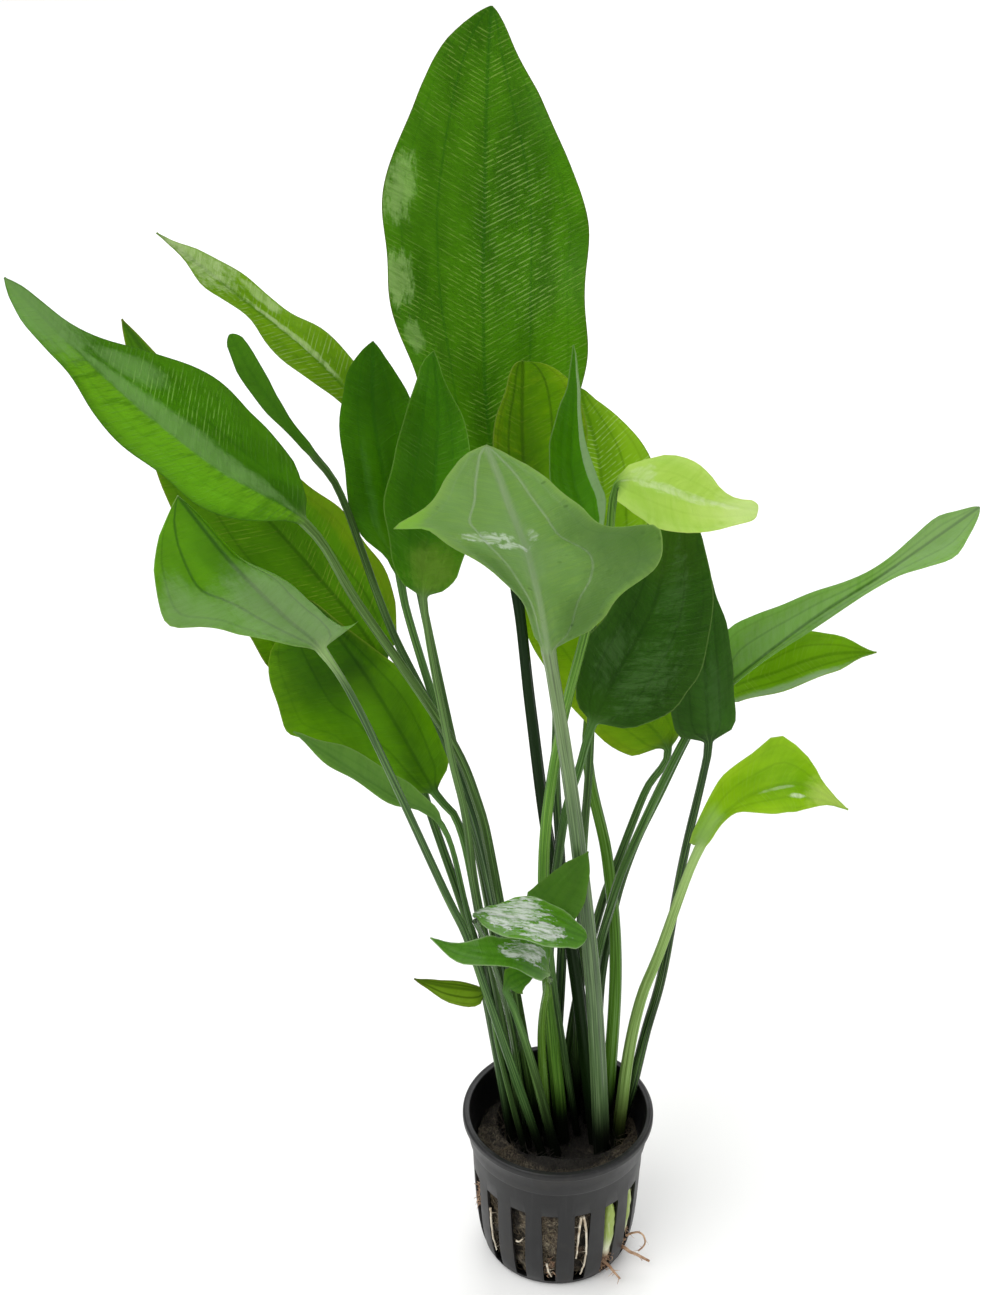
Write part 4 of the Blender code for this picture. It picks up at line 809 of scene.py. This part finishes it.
        spine=[(-11, -18, 121), (-22, -22, 126), (-35, -24, 133)],
        left=(2.5, 3.3, 3.8, 4, 3.8, 3.3, 3, 3.5, 4.2, 3.4, 1.5),
        right=(8.5, 9, 8, 6.5, 5.5, 5, 5.2, 3.8, 1.8, 0.8, 0.5), face=(0, -0.5, 0.85), lobe=(5, 2),
        diameter=2.3, wave=(2, 0.5, 0),
        look=dict(greens="#5b8e2d #467a19 #6e9e3d #97c64e #8eb366", veins=(0.1, 0.2, 0.2),
            margin="#b0c498", stalk="#567c25", stalkTop="#547a2b", roughness=0.22, wet=0.6,
            sheen=((0.3, 0.32, 0.6, 0.2, 1),), sheenColour="#ffffff", sheenStreak=0.85, sheenAlong=True,
            ragged=5.5, sheenCore=0.55)),
    "leaf_small_left": dict(
        foot=(-8.6, -2.6), stalk=[(-17, -1, 73), (-19, -1.5, 90), (-20, -2, 95)],
        spine=[(-26, -5, 99), (-33, -8, 103), (-40, -10, 107)],
        left=(2, 3.5, 4.8, 5.3, 5.5, 5.3, 4.8, 3.8, 2.5, 1.5, 0.8),
        right=(1, 1.3, 1.5, 1.8, 2, 2, 1.8, 1.5, 1.3, 0.8, 0.4), face=(0.1, -0.5, 0.85), fold=(10, 10),
        diameter=1.5, wave=(1, 0.2, 0),
        look=dict(greens="#7c9a2c #648715 #90a840 #b8d754 #a6bd56", veins=(0.1, 0.75, 0.6), rib="#3c5410",
            margin="#6c5c34", stalk="#3e592b")),
    "leaf_small_hidden": dict(
        foot=(-0.2, -0.2), stalk=[(-8, -4, 72), (-13, -7, 94), (-15, -8, 101)],
        spine=[(-13, -10, 106), (-11, -11, 108), (-8, -12, 109)], left=(2, 4, 4, 3, 1.5),
        right=(2, 4, 4, 3, 1.5), face=(0.1, -0.7, 0.7), diameter=2.4, wave=(1, 0.2, 0),
        look=dict(greens="#547f1c #426d11 #629021 #8fd02a #9fcf62", veins=(0.1, 0.4, 0.3), stalk="#3c5428")),
}


def makeLeaves():
    for number, (node, leaf) in enumerate(leaves.items()):
        leaf = {**leafDefaults, "tipFace": leaf["face"], **leaf}
        spots, faces, layers = leafMeshData(leaf, number * 1.3)
        piece = meshObject(node + "_live", spots, faces, leafMaterial(node, leaf["look"]), 75)
        for name, values in layers.items():
            layer = piece.data.attributes.new(name, "FLOAT_VECTOR", "POINT")
            layer.data.foreach_set("vector", np.concatenate(values).astype(np.float32).ravel())
        place(piece, node)


makeLeaves()
print("leaves ready")


# Net pot

netPot = {
    "rimRadius": 27.3, "rimInner": 25.2, "rimTop": 50.0,
    "bandRadius": 26.4, "bandBottomRadius": 25.5, "bandBottom": 40.2, "bandTop": 47.3,
    "baseRadius": 20.6, "baseRound": 0.8,
    "swell": 2.6, "swellHeight": 7.0, "flare": 0.036,  # the wall swells above its base, then flares
    "wallHeights": (4, 6, 9, 13, 18, 24, 30, 36),      # where its outline has points
    "wall": 0.9, "floor": 1.3, "segments": 176,
    "slots": 16, "slotTopWidth": 4.9, "slotBottomWidth": 3.3, "slotBottom": 1.9, "slotTop": 31.0,
    "slotCorner": 0.5, "firstSlot": 16.5, "slotCut": (15.0, 30.0),
    "drains": 6, "drainWidth": 2.6, "drainInner": 6.5, "drainOuter": 14.0,
    "edge": 0.12,
    "plastic": "#121213", "plasticWorn": "#262628", "dust": "#46423b",
    "grimeSize": 11.11, "grainSize": 0.625, "scratchSize": (1.429, 1.429, 25.0),  # mm
}


def outerRadius(height):  # the wall's outer radius below the band
    pot = netPot
    bulge = pot["swell"] * (1 - math.exp(-height / pot["swellHeight"]))
    return pot["baseRadius"] + bulge + pot["flare"] * height


def outward(degrees):  # 0 is the front, 90 is +X
    angle = math.radians(degrees)
    return Vector((math.sin(angle), -math.cos(angle), 0.0))


def arcPoints(centre, radius, first, last, steps):
    angles = [math.radians(first + (last - first) * k / steps) for k in range(steps + 1)]
    return [(centre[0] + radius * math.cos(a), centre[1] + radius * math.sin(a)) for a in angles]


def turnedBmesh(outline, segments):  # from the axis at the bottom round to the axis again
    bm = bmesh.new()
    columns = []
    for k in range(segments):
        angle = 2 * math.pi * k / segments
        column = []
        for radius, height in outline:
            if radius == 0.0 and k > 0:
                column.append(columns[0][len(column)])
            else:
                spot = Vector((radius * math.cos(angle), radius * math.sin(angle), height))
                column.append(bm.verts.new(spot * mm))
        columns.append(column)
    for k in range(segments):
        here, after = columns[k], columns[(k + 1) % segments]
        for j in range(len(outline) - 1):
            bm.faces.new(list(dict.fromkeys((here[j], after[j], after[j + 1], here[j + 1]))))
    return bm


def addPrism(bm, direction, inner, outer, outline):  # cuts the wall; the outline is (sideways, height)
    side = Vector((-direction.y, direction.x, 0.0))
    near, far = ([bm.verts.new((direction * depth + side * across + Vector((0, 0, height))) * mm)
                  for across, height in outline] for depth in (inner, outer))
    for k in range(len(outline)):
        after = (k + 1) % len(outline)
        bm.faces.new((near[k], near[after], far[after], far[k]))
    bm.faces.new(near[::-1])
    bm.faces.new(far)


def bmeshObject(name, bm):
    bmesh.ops.recalc_face_normals(bm, faces=bm.faces[:])
    mesh = bpy.data.meshes.new(name)
    bm.to_mesh(mesh)
    bm.free()
    return addObject(name, mesh)


def potMaterial():
    # polypropylene, injection moulded and carbon black: satin grey-black, with rubbed paler streaks
    # and a trace of dried dust
    material, tree = newMaterial("polypropyleneMouldedBlack")
    pot = netPot
    spot = addNode(tree, "TexCoord", (), "Object")
    grime = addNode(tree, "TexNoise",
                    {"Vector": spot, "Scale": scaleFor(pot["grimeSize"]), "Detail": 5.0, "Roughness": 0.65})
    fine = addNode(tree, "TexNoise", {"Vector": spot, "Scale": scaleFor(pot["grainSize"]), "Detail": 2.0})
    long = addNode(tree, "VectorMath", (spot, tuple(scaleFor(size) for size in pot["scratchSize"])),
                   operation="MULTIPLY")
    scratch = addNode(tree, "TexNoise", {"Vector": long, "Scale": 1.0, "Detail": 3.0})
    colour = layered(tree, pot["plastic"], [(scratch, 0.56, 0.72, 0.5, pot["plasticWorn"]),
                                            (grime, 0.55, 0.78, 0.35, pot["dust"])])
    roughness = addNode(tree, "MapRange", (grime, 0.3, 0.75, 0.36, 0.56))
    bump = addNode(tree, "Bump", {"Height": fine, "Strength": 0.12, "Distance": 0.00006})
    plastic = addNode(tree, "BsdfPrincipled", {"Base Color": colour, "Roughness": roughness, "IOR": 1.49,
                                               "Specular IOR Level": 0.38, "Normal": bump})
    addNode(tree, "OutputMaterial", (plastic,), None)
    return material


def potOutline():
    p = netPot
    lip, mouth, top = p["rimRadius"], p["rimInner"], p["rimTop"]
    low, under, bend, floor = p["bandBottom"], p["bandBottomRadius"], p["baseRound"], p["floor"]
    outline = [(0.0, 0.0)] + arcPoints((p["baseRadius"] - bend, bend), bend, -90, 0, 3)
    outline += [(outerRadius(h), h) for h in (2.2, *p["wallHeights"], low - 0.9, low)]
    outline += [(under - 0.12, low + 0.35), (under, low + 0.9), (under + 0.36, 43.6),
                (p["bandRadius"], p["bandTop"]), (lip - 0.3, p["bandTop"] + 0.2)]
    outline += arcPoints((lip - 0.55, top - 1.9), 0.55, -60, 0, 3)
    outline += arcPoints((lip - 0.8, top - 0.8), 0.8, 0, 90, 6)
    outline += [(mouth + 1.3, top - 0.06)] + arcPoints((mouth + 0.5, top - 0.65), 0.5, 90, 180, 5)
    outline += [(mouth + 0.02, top - 2), (mouth - 0.4, top - 6), (mouth - 0.8, low + 0.5)]
    outline += [(outerRadius(h) - p["wall"], h)
                for h in (low - 0.5, *reversed(p["wallHeights"]), floor + 0.5)]
    return outline + [(outerRadius(floor) - p["wall"] - 0.5, floor), (0.0, floor)]


def makePot():
    p = netPot
    pot = bmeshObject("netPotBlank", turnedBmesh(potOutline(), p["segments"]))
    cuts = bmesh.new()
    corner, slot = p["slotCorner"], []
    for side, height, half, first in ((1, p["slotBottom"] + corner, p["slotBottomWidth"] / 2, -90),
                                      (1, p["slotTop"] - corner, p["slotTopWidth"] / 2, 0),
                                      (-1, p["slotTop"] - corner, p["slotTopWidth"] / 2, 90),
                                      (-1, p["slotBottom"] + corner, p["slotBottomWidth"] / 2, 180)):
        slot += arcPoints((side * (half - corner), height), corner, first, first + 90, 4)
    for k in range(p["slots"]):
        addPrism(cuts, outward(p["firstSlot"] + 360 * k / p["slots"]), *p["slotCut"], slot)
    half, deep = p["drainWidth"] / 2, p["floor"] + 1.0
    for k in range(p["drains"]):
        addPrism(cuts, outward(360 * k / p["drains"]), p["drainInner"], p["drainOuter"],
                 [(-half, -1.0), (half, -1.0), (half, deep), (-half, deep)])
    cutter = bmeshObject("slotCutter", cuts)
    cut = pot.modifiers.new("slots", "BOOLEAN")
    cut.operation = "DIFFERENCE"
    cut.object = cutter
    soften = pot.modifiers.new("softEdges", "BEVEL")
    soften.width = p["edge"] * mm
    soften.segments = 2
    soften.limit_method = "ANGLE"
    soften.angle_limit = math.radians(50)
    mesh = bpy.data.meshes.new_from_object(pot.evaluated_get(bpy.context.evaluated_depsgraph_get()))
    bpy.data.objects.remove(cutter)
    bpy.data.objects.remove(pot)
    mesh.materials.clear()
    mesh.materials.append(potMaterial())
    mesh.shade_smooth()
    mesh.set_sharp_from_angle(angle=math.radians(40))
    place(addObject("netPotBody", mesh), "net_pot")


makePot()
print("net pot ready")


# Stone wool

woolPlug = {
    "top": 38.4, "gap": 0.45, "segments": 150,
    "pitFloor": 30.0, "pitCentre": (2.4, 7.8), "pitRadii": (19.8, 15.2), "pitBorder": 0.95,
    "grooveDepth": 5.0, "grooveHalf": 13.0, "grooveTop": 33.5,  # where the side shoots lie; degrees
    "lump": 2.1, "lumpPitch": 0.16, "finePitch": 0.9,           # mm, and noise units to a mm
    "fibres": 2400, "fibreRadius": 0.06, "fibreLength": (2.0, 6.0), "fibresOnTop": 0.3,
    "fibreHeights": (3.0, 36.0), "fibreDepths": (0.1, 1.3), "fibreLift": (-0.6, 0.9), "fibreLow": 2.2,
    "pale": "#a89c82", "brown": "#66594a", "dark": "#120e0a", "red": "#64402c", "straw": "#9c8c6c",
    "flockSize": 5.88, "broadSize": 14.29, "hollowSize": 8.33, "strandSize": (0.667, 2.0, 0.667),  # mm
}
# side shoots: degrees round the pot, and height, depth in from the wall's face and radius along them
shoots = {
    "side_shoot_front": (40.8, [(6.8, 2.0, 1.1), (10.0, 2.4, 1.8), (17.0, 2.1, 2.0), (24.0, 2.0, 2.0),
                                (27.5, 2.0, 1.6), (29.6, 1.7, 0.7)]),
    "side_shoot_right": (62.8, [(8.2, 2.2, 0.7), (12.0, 2.1, 1.3), (19.0, 1.8, 1.4), (25.0, 1.7, 1.4),
                                (28.0, 1.7, 1.0), (29.6, 1.5, 0.5)]),
}


def around(angle):
    return Vector((math.cos(angle), math.sin(angle), 0.0))


def woolRadius(angle, height):
    w = woolPlug
    radius = outerRadius(height) - netPot["wall"] - w["gap"]
    degrees = math.degrees(math.atan2(math.cos(angle), -math.sin(angle)))
    nearest = min(abs(degrees - groove) for groove, stations in shoots.values())
    if height < w["grooveTop"] and nearest < w["grooveHalf"]:
        radius -= w["grooveDepth"] * math.cos(math.radians(90 * nearest / w["grooveHalf"])) ** 0.5
    return radius


def pitPoint(angle, share, height):
    w = woolPlug
    spot = Vector((w["pitCentre"][0] + w["pitRadii"][0] * math.cos(angle) * share,
                   w["pitCentre"][1] + w["pitRadii"][1] * math.sin(angle) * share, 0.0))
    reach = (woolRadius(angle, w["top"]) - w["pitBorder"]) * (0.94 + 0.06 * share)
    if spot.length > reach:
        spot *= reach / spot.length
    return Vector((spot.x, spot.y, height))


def woolMaterial(name, straw):
    # stone wool, spun from melted rock and pressed: matt grey-brown flocks, with straw and rust tints
    # from the roots, and painted shade in its hollows, on top and round the stalks' feet
    material, tree = newMaterial(name)
    w = woolPlug
    spot = addNode(tree, "TexCoord", (), "Object")
    height = addNode(tree, "SeparateXYZ", (spot,), 2)
    flock, broad, hollow = (
        addNode(tree, "TexNoise",
                {"Vector": spot, "Scale": scaleFor(w[size]), "Detail": detail, "Roughness": rough})
        for size, detail, rough in (("flockSize", 6, 0.7), ("broadSize", 3, 0.5), ("hollowSize", 4, 0.6)))
    turned = addNode(tree, "Mapping", {"Vector": spot, "Rotation": (0.4, 0.3, 0.2),
                                       "Scale": tuple(scaleFor(size) for size in w["strandSize"])})
    strand = addNode(tree, "TexNoise", {"Vector": turned, "Scale": 1.0, "Detail": 4.0, "Distortion": 1.2})
    # painted shade: dark in the hollows, on top, and on the pit's floor round the feet of the stalks
    shade = addNode(tree, "MapRange", (hollow, 0.47, 0.60, 0, 0.9))
    top = addNode(tree, "MapRange", (height, 0.030, 0.036, 0, 0.62))
    shade = addNode(tree, "Math", (shade, top), operation="MAXIMUM")
    fromFeet = addNode(tree, "VectorMath", (spot, (55, 52, 0), (-0.1, -0.2, 0)), operation="MULTIPLY_ADD")
    fromFeet = addNode(tree, "VectorMath", (fromFeet,), "Value", operation="LENGTH")
    feet = addNode(tree, "MapRange", (fromFeet, 1.08, 0.86, 0, 0.96))
    above = addNode(tree, "MapRange", (height, 0.028, 0.030))
    feet = addNode(tree, "Math", (feet, above), operation="MULTIPLY")
    shade = addNode(tree, "Math", (shade, feet), operation="MAXIMUM")
    colour = layered(tree, w["dark"], [
        (flock, 0.36, 0.64, 1, w["brown"]), (strand, 0.45, 0.7, 0.85, w["pale"]),
        (broad, 0.58, 0.72, 0.45, w["red"]), (broad, 0.35, 0.6, straw, w["straw"]), (shade, w["dark"])])
    relief = addNode(tree, "Math", (flock, strand), operation="ADD")
    bump = addNode(tree, "Bump", {"Height": relief, "Strength": 0.9, "Distance": 0.0005})
    matt = addNode(tree, "BsdfPrincipled", {"Base Color": colour, "Roughness": 0.93, "Normal": bump})
    addNode(tree, "OutputMaterial", (matt,), None)
    return material


def tubeData(points, radii, sides, steps, wobble=0.0, seed=0.0):
    # rings along a smooth curve through the points; wobble bends it off its line
    line = [np.array(p, float) for p in points]
    count = (len(line) - 1) * steps
    spots = []
    guide = np.array((0.31, 0.9, 0.23))
    for k in range(count + 1):
        at = (len(line) - 1) * k / count
        centre = curvePoint(line, at)
        if wobble:
            stray = noise.noise_vector(Vector(centre) * 0.45 + Vector((seed, 0, 0)))
            centre = centre + np.array(stray) * wobble
        tangent = curveTangent(line, at)
        upper = unit(guide - tangent * np.dot(guide, tangent))
        side = np.cross(tangent, upper)
        radius = float(np.interp(at, np.arange(len(radii)), radii))
        for angle in (2 * math.pi * j / sides for j in range(sides)):
            spots.append(centre + (side * math.cos(angle) + upper * math.sin(angle)) * radius)
    return spots, ringFaces(count + 1, sides)


def joinData(parts):
    spots, faces = [], []
    for partSpots, partFaces in parts:
        faces += [tuple(i + len(spots) for i in face) for face in partFaces]
        spots += list(partSpots)
    return spots, faces


def plugData():
    w = woolPlug
    low, high = netPot["floor"] + 0.4, w["top"]
    angles = [2 * math.pi * k / w["segments"] for k in range(w["segments"])]
    wall = [low + (high - 1.2 - low) * k / 52 for k in range(53)]
    rings = [[around(a) * woolRadius(a, height) + Vector((0, 0, height)) for a in angles] for height in wall]
    brim = [around(a) * woolRadius(a, high) + Vector((0, 0, high)) for a in angles]
    for inward in (0.05, 0.15, 0.3, 0.45, 0.6, 0.75, 0.9):
        rings.append([spot.lerp(pitPoint(a, 1.0, high), inward) for a, spot in zip(angles, brim)])
    for drop in (0.15, 0.4, 0.65, 0.9):
        rings.append([pitPoint(a, 1.0 - 0.04 * drop, high - (high - w["pitFloor"]) * drop) for a in angles])
    for share in (0.9, 0.75, 0.6, 0.45, 0.3, 0.15):
        rings.append([pitPoint(a, share, w["pitFloor"]) for a in angles])
    spots = []
    for r, ring in enumerate(rings):
        for spot in ring:
            big = noise.fractal(spot * w["lumpPitch"], 0.9, 2.0, 4)
            fine = noise.noise(spot * w["finePitch"])
            if r < len(wall):
                # lumps only reach inwards from the wall, so the plug never meets the pot
                inwards = Vector((spot.x, spot.y, 0)).normalized()
                spots.append(spot - inwards * (w["lump"] * max(0.0, 0.55 + big) + 0.35 * (fine + 0.5)))
            else:
                spots.append(spot + Vector((0, 0, 0.9 * big + 0.4 * fine)))
    return spots, ringFaces(len(rings), w["segments"])


def anyWay(low=-1, high=1):
    return Vector((random.uniform(-1, 1), random.uniform(-1, 1), random.uniform(low, high)))


def fibreData():
    w = woolPlug
    high = w["top"]
    angle = random.uniform(0, 2 * math.pi)
    length = random.uniform(*w["fibreLength"])
    if random.random() < w["fibresOnTop"]:
        share = random.uniform(0.0, 1.0)
        start = (around(angle) * (woolRadius(angle, high) - 0.6)).lerp(pitPoint(angle, 1.0, high), share)
        start.z = high + random.uniform(*w["fibreLift"])
        heading = anyWay(-0.3, 0.25).normalized()
    else:
        height = random.uniform(*w["fibreHeights"])
        start = around(angle) * (woolRadius(angle, height) - random.uniform(*w["fibreDepths"]))
        start.z = height
        along = around(angle + math.pi / 2)
        heading = (along * random.uniform(-1, 1) + Vector((0, 0, random.uniform(-1, 1)))).normalized()
    bend = anyWay() * 0.45
    points = []
    for j in range(4):
        spot = start + heading * (length * j / 3) + bend * (length * (j / 3) ** 2 * 0.6)
        limit = woolRadius(math.atan2(spot.y, spot.x), min(spot.z, 33)) - 0.1
        if spot.xy.length > limit:
            spot.xy *= limit / spot.xy.length
        spot.z = min(max(spot.z, w["fibreLow"]), high + 1.6)
        points.append(spot)
    return tubeData(points, [w["fibreRadius"] * random.uniform(0.7, 1.6)] * 4, 3, 2)


def makeWool():
    random.seed(7)
    plug = meshObject("stoneWoolPlug", *plugData(), woolMaterial("stoneWoolPressed", 0.0), 70)
    place(plug, "stone_wool")
    fluff = meshObject("stoneWoolFibres", *joinData([fibreData() for k in range(woolPlug["fibres"])]),
                       woolMaterial("stoneWoolStrands", 0.6), 180)
    place(fluff, "stone_wool")


makeWool()
print("stone wool ready")


# Side shoots and roots

rootLook = {
    "cream": "#ded5c2", "creamDark": "#a9967a", "tan": "#cbab8c", "tanDark": "#8a6244", "russet": "#5c3524",
    "shootGreen": "#93a84e", "shootPale": "#dcdfc2", "shootBase": "#a08a70",
    "tintSize": 2.381, "skinSize": 0.5556, "shootStreak": (0.909, 0.909, 16.67),  # mm
    "inset": 0.48,              # mm in from the wall's face, for the roots in the slots
    "hairs": {"white_root": 6, "tan_root": 9},
    "hairLength": (0.8, 2.4),   # mm
    "hairRadii": (0.28, 0.2),   # shares of the root's radius
    "hairTip": 0.03,            # mm
    "tuftStep": (0.7, 1.5),     # mm from one point of a fine root to the next
    "tuftRadii": (0.11, 0.09, 0.04),
    "tuftReach": 0.9,           # mm that fine roots stand out from the wall
    "lowest": (0.25, 0.3),      # mm above the ground, for hairs and for fine roots
}
# roots in the slots: degrees and heights on the wall, and the radius
slotRoots = {
    "root_fork_left": ([(15.4, 29.6), (14.2, 20.0), (13.5, 12.4)], 0.38),
    "root_fork_right": ([(17.6, 29.6), (20.0, 22.5), (20.8, 15.0), (20.0, 9.0), (18.0, 4.2)], 0.38),
    "root_far_left": ([(-55.4, 23.5), (-55.4, 14.0), (-53.4, 6.5)], 0.36),
    "root_across": ([(-31.2, 17.0), (-28.4, 17.4), (-26.0, 19.0)], 0.30),
    "root_low": ([(-8.2, 10.0), (-6.8, 7.0), (-4.6, 4.2)], 0.32),
}
# roots that come out of the slots: points in mm, and the radius
looseRoots = {
    "root_curl": ([(20.3, -10.4, 9.6), (22.0, -10.7, 10.8), (23.8, -10.9, 11.4), (25.5, -11.8, 10.0),
                   (25.4, -12.4, 7.6), (23.9, -12.9, 6.0)], 0.36),
    "root_thick": ([(18.3, -10.5, 5.6), (20.3, -11.9, 5.8), (22.8, -13.2, 5.0), (27.0, -14.4, 3.0)], 0.62),
    "root_short": ([(13.5, -15.5, 4.4), (15.1, -17.2, 4.2), (16.6, -18.7, 3.2), (18.2, -19.6, 1.4)], 0.5),
}
# tufts of fine roots: node, degrees, heights, depths in from the wall's face, how many
tufts = {
    "rootTuftFront": ("root_short", (35.0, 43.5), (2.6, 8.6), (0.2, 2.0), 85),
    "rootTuftLow": ("root_low", (-10.5, -2.0), (3.0, 12.0), (0.8, 2.2), 26),
    "rootTuftLeft": ("root_far_left", (-78.0, -70.0), (19.0, 28.0), (-0.2, 1.2), 40),
    "rootTuftRight": ("root_curl", (56.0, 66.0), (5.0, 13.0), (0.2, 1.6), 24),
}


def rootMaterial(name, light, dark):
    # live root: a matt fibrous skin, cream to tan, with darker rings and spots
    material, tree = newMaterial(name)
    spot = addNode(tree, "TexCoord", (), "Object")
    tint = addNode(tree, "TexNoise", {"Vector": spot, "Scale": scaleFor(rootLook["tintSize"]), "Detail": 4.0})
    skin = addNode(tree, "TexNoise", {"Vector": spot, "Scale": scaleFor(rootLook["skinSize"]), "Detail": 2.0})
    colour = layered(tree, light, [(tint, 0.4, 0.68, 1, dark)])
    bump = addNode(tree, "Bump", {"Height": skin, "Strength": 0.4, "Distance": 0.0001})
    matt = addNode(tree, "BsdfPrincipled",
                   {"Base Color": colour, "Roughness": 0.62, "IOR": 1.42, "Normal": bump})
    addNode(tree, "OutputMaterial", (matt,), None)
    return material


def shootMaterial():
    # young shoot: smooth and juicy, green above and bleached to white where the light never came
    material, tree = newMaterial("youngShootTissue")
    look = rootLook
    spot = addNode(tree, "TexCoord", (), "Object")
    height = addNode(tree, "SeparateXYZ", (spot,), 2)
    long = addNode(tree, "VectorMath", (spot, tuple(scaleFor(size) for size in look["shootStreak"])),
                   operation="MULTIPLY")
    streak = addNode(tree, "TexNoise", {"Vector": long, "Scale": 1.0, "Detail": 3.0})
    colour = layered(tree, look["shootPale"], [(height, 0.0095, 0.0185, 1, look["shootGreen"]),
                                               (height, 0.0115, 0.008, 1, look["shootBase"])], **smooth)
    colour = layered(tree, colour, [(streak, 0.5, 0.75, 0.5, look["shootPale"])])
    bump = addNode(tree, "Bump", {"Height": streak, "Strength": 0.3, "Distance": 0.00015})
    skin = addNode(tree, "BsdfPrincipled",
                   {"Base Color": colour, "Roughness": 0.42, "IOR": 1.42, "Normal": bump})
    addNode(tree, "OutputMaterial", (skin,), None)
    return material


def onWall(degrees, height, inset):
    spot = outward(degrees) * (outerRadius(height) - inset)
    spot.z = height
    return spot


def hairyRoot(node, points, radius, material, slot, seed):
    look = rootLook
    random.seed(seed)
    last = len(points) - 1
    radii = [radius * (1 - 0.4 * k / last) for k in range(last + 1)]
    parts = [tubeData(points, radii, 10, 8, radius * 0.5, seed)]
    line = [np.array(p, float) for p in points]
    hairRadii = [radius * share for share in look["hairRadii"]] + [look["hairTip"]]
    for k in range(look["hairs"][slot]):
        start = curvePoint(line, random.uniform(0.1, last))
        way = np.array(anyWay(-0.8, 0.5))
        length = random.uniform(*look["hairLength"])
        if node in slotRoots:  # its hairs grow into the pot
            way = way + np.array((-start[0], -start[1], 0.0)) / 20
        bend = np.array(anyWay(-1, 0.4))
        hair = [start + way * length * t + bend * length * t * t * 0.4 for t in (0, 0.5, 1)]
        hair = [(p[0], p[1], max(p[2], look["lowest"][0])) for p in hair]
        parts.append(tubeData(hair, hairRadii, 4, 2))
    place(meshObject(node + "_live", *joinData(parts), material, 70), node)


def rootHair(degrees, heights, insets):
    points = [onWall(random.uniform(*degrees), random.uniform(*heights), random.uniform(*insets))]
    for bend in range(2):
        step = Vector((random.uniform(-1, 1), random.uniform(-1, 0.8), random.uniform(-1, 0.6)))
        points.append(points[-1] + step * random.uniform(*rootLook["tuftStep"]))
    reach = outerRadius(points[0].z) + rootLook["tuftReach"]
    points = [p if p.xy.length < reach else p * (reach / p.xy.length) for p in points]
    return tubeData(points, rootLook["tuftRadii"], 4, 3)


def makeShootsAndRoots():
    look = rootLook
    tissue = shootMaterial()
    for node, (degrees, stations) in shoots.items():
        points = [onWall(degrees, height, inset) for height, inset, radius in stations]
        data = tubeData(points, [radius for height, inset, radius in stations], 28, 8, 0.25, 3.0)
        place(meshObject(node + "_live", *data, tissue, 60), node)
    cream = rootMaterial("liveRootCream", look["cream"], look["creamDark"])
    tan = rootMaterial("liveRootTan", look["tan"], look["tanDark"])
    russet = rootMaterial("liveRootRusset", look["tan"], look["russet"])
    for seed, (node, (places, radius)) in enumerate(slotRoots.items()):
        points = [onWall(degrees, height, look["inset"]) for degrees, height in places]
        hairyRoot(node, points, radius, cream, "white_root", 20 + seed)
    for seed, (node, (points, radius)) in enumerate(looseRoots.items()):
        hairyRoot(node, points, radius, tan, "tan_root", 40 + seed)
    for name, (node, degrees, heights, insets, count) in tufts.items():
        random.seed(len(name) * 7)
        spots, faces = joinData([rootHair(degrees, heights, insets) for k in range(count)])
        spots = [(p[0], p[1], max(p[2], look["lowest"][1])) for p in spots]
        place(meshObject(name, spots, faces, russet, 70), node)


makeShootsAndRoots()
print("shoots and roots ready")
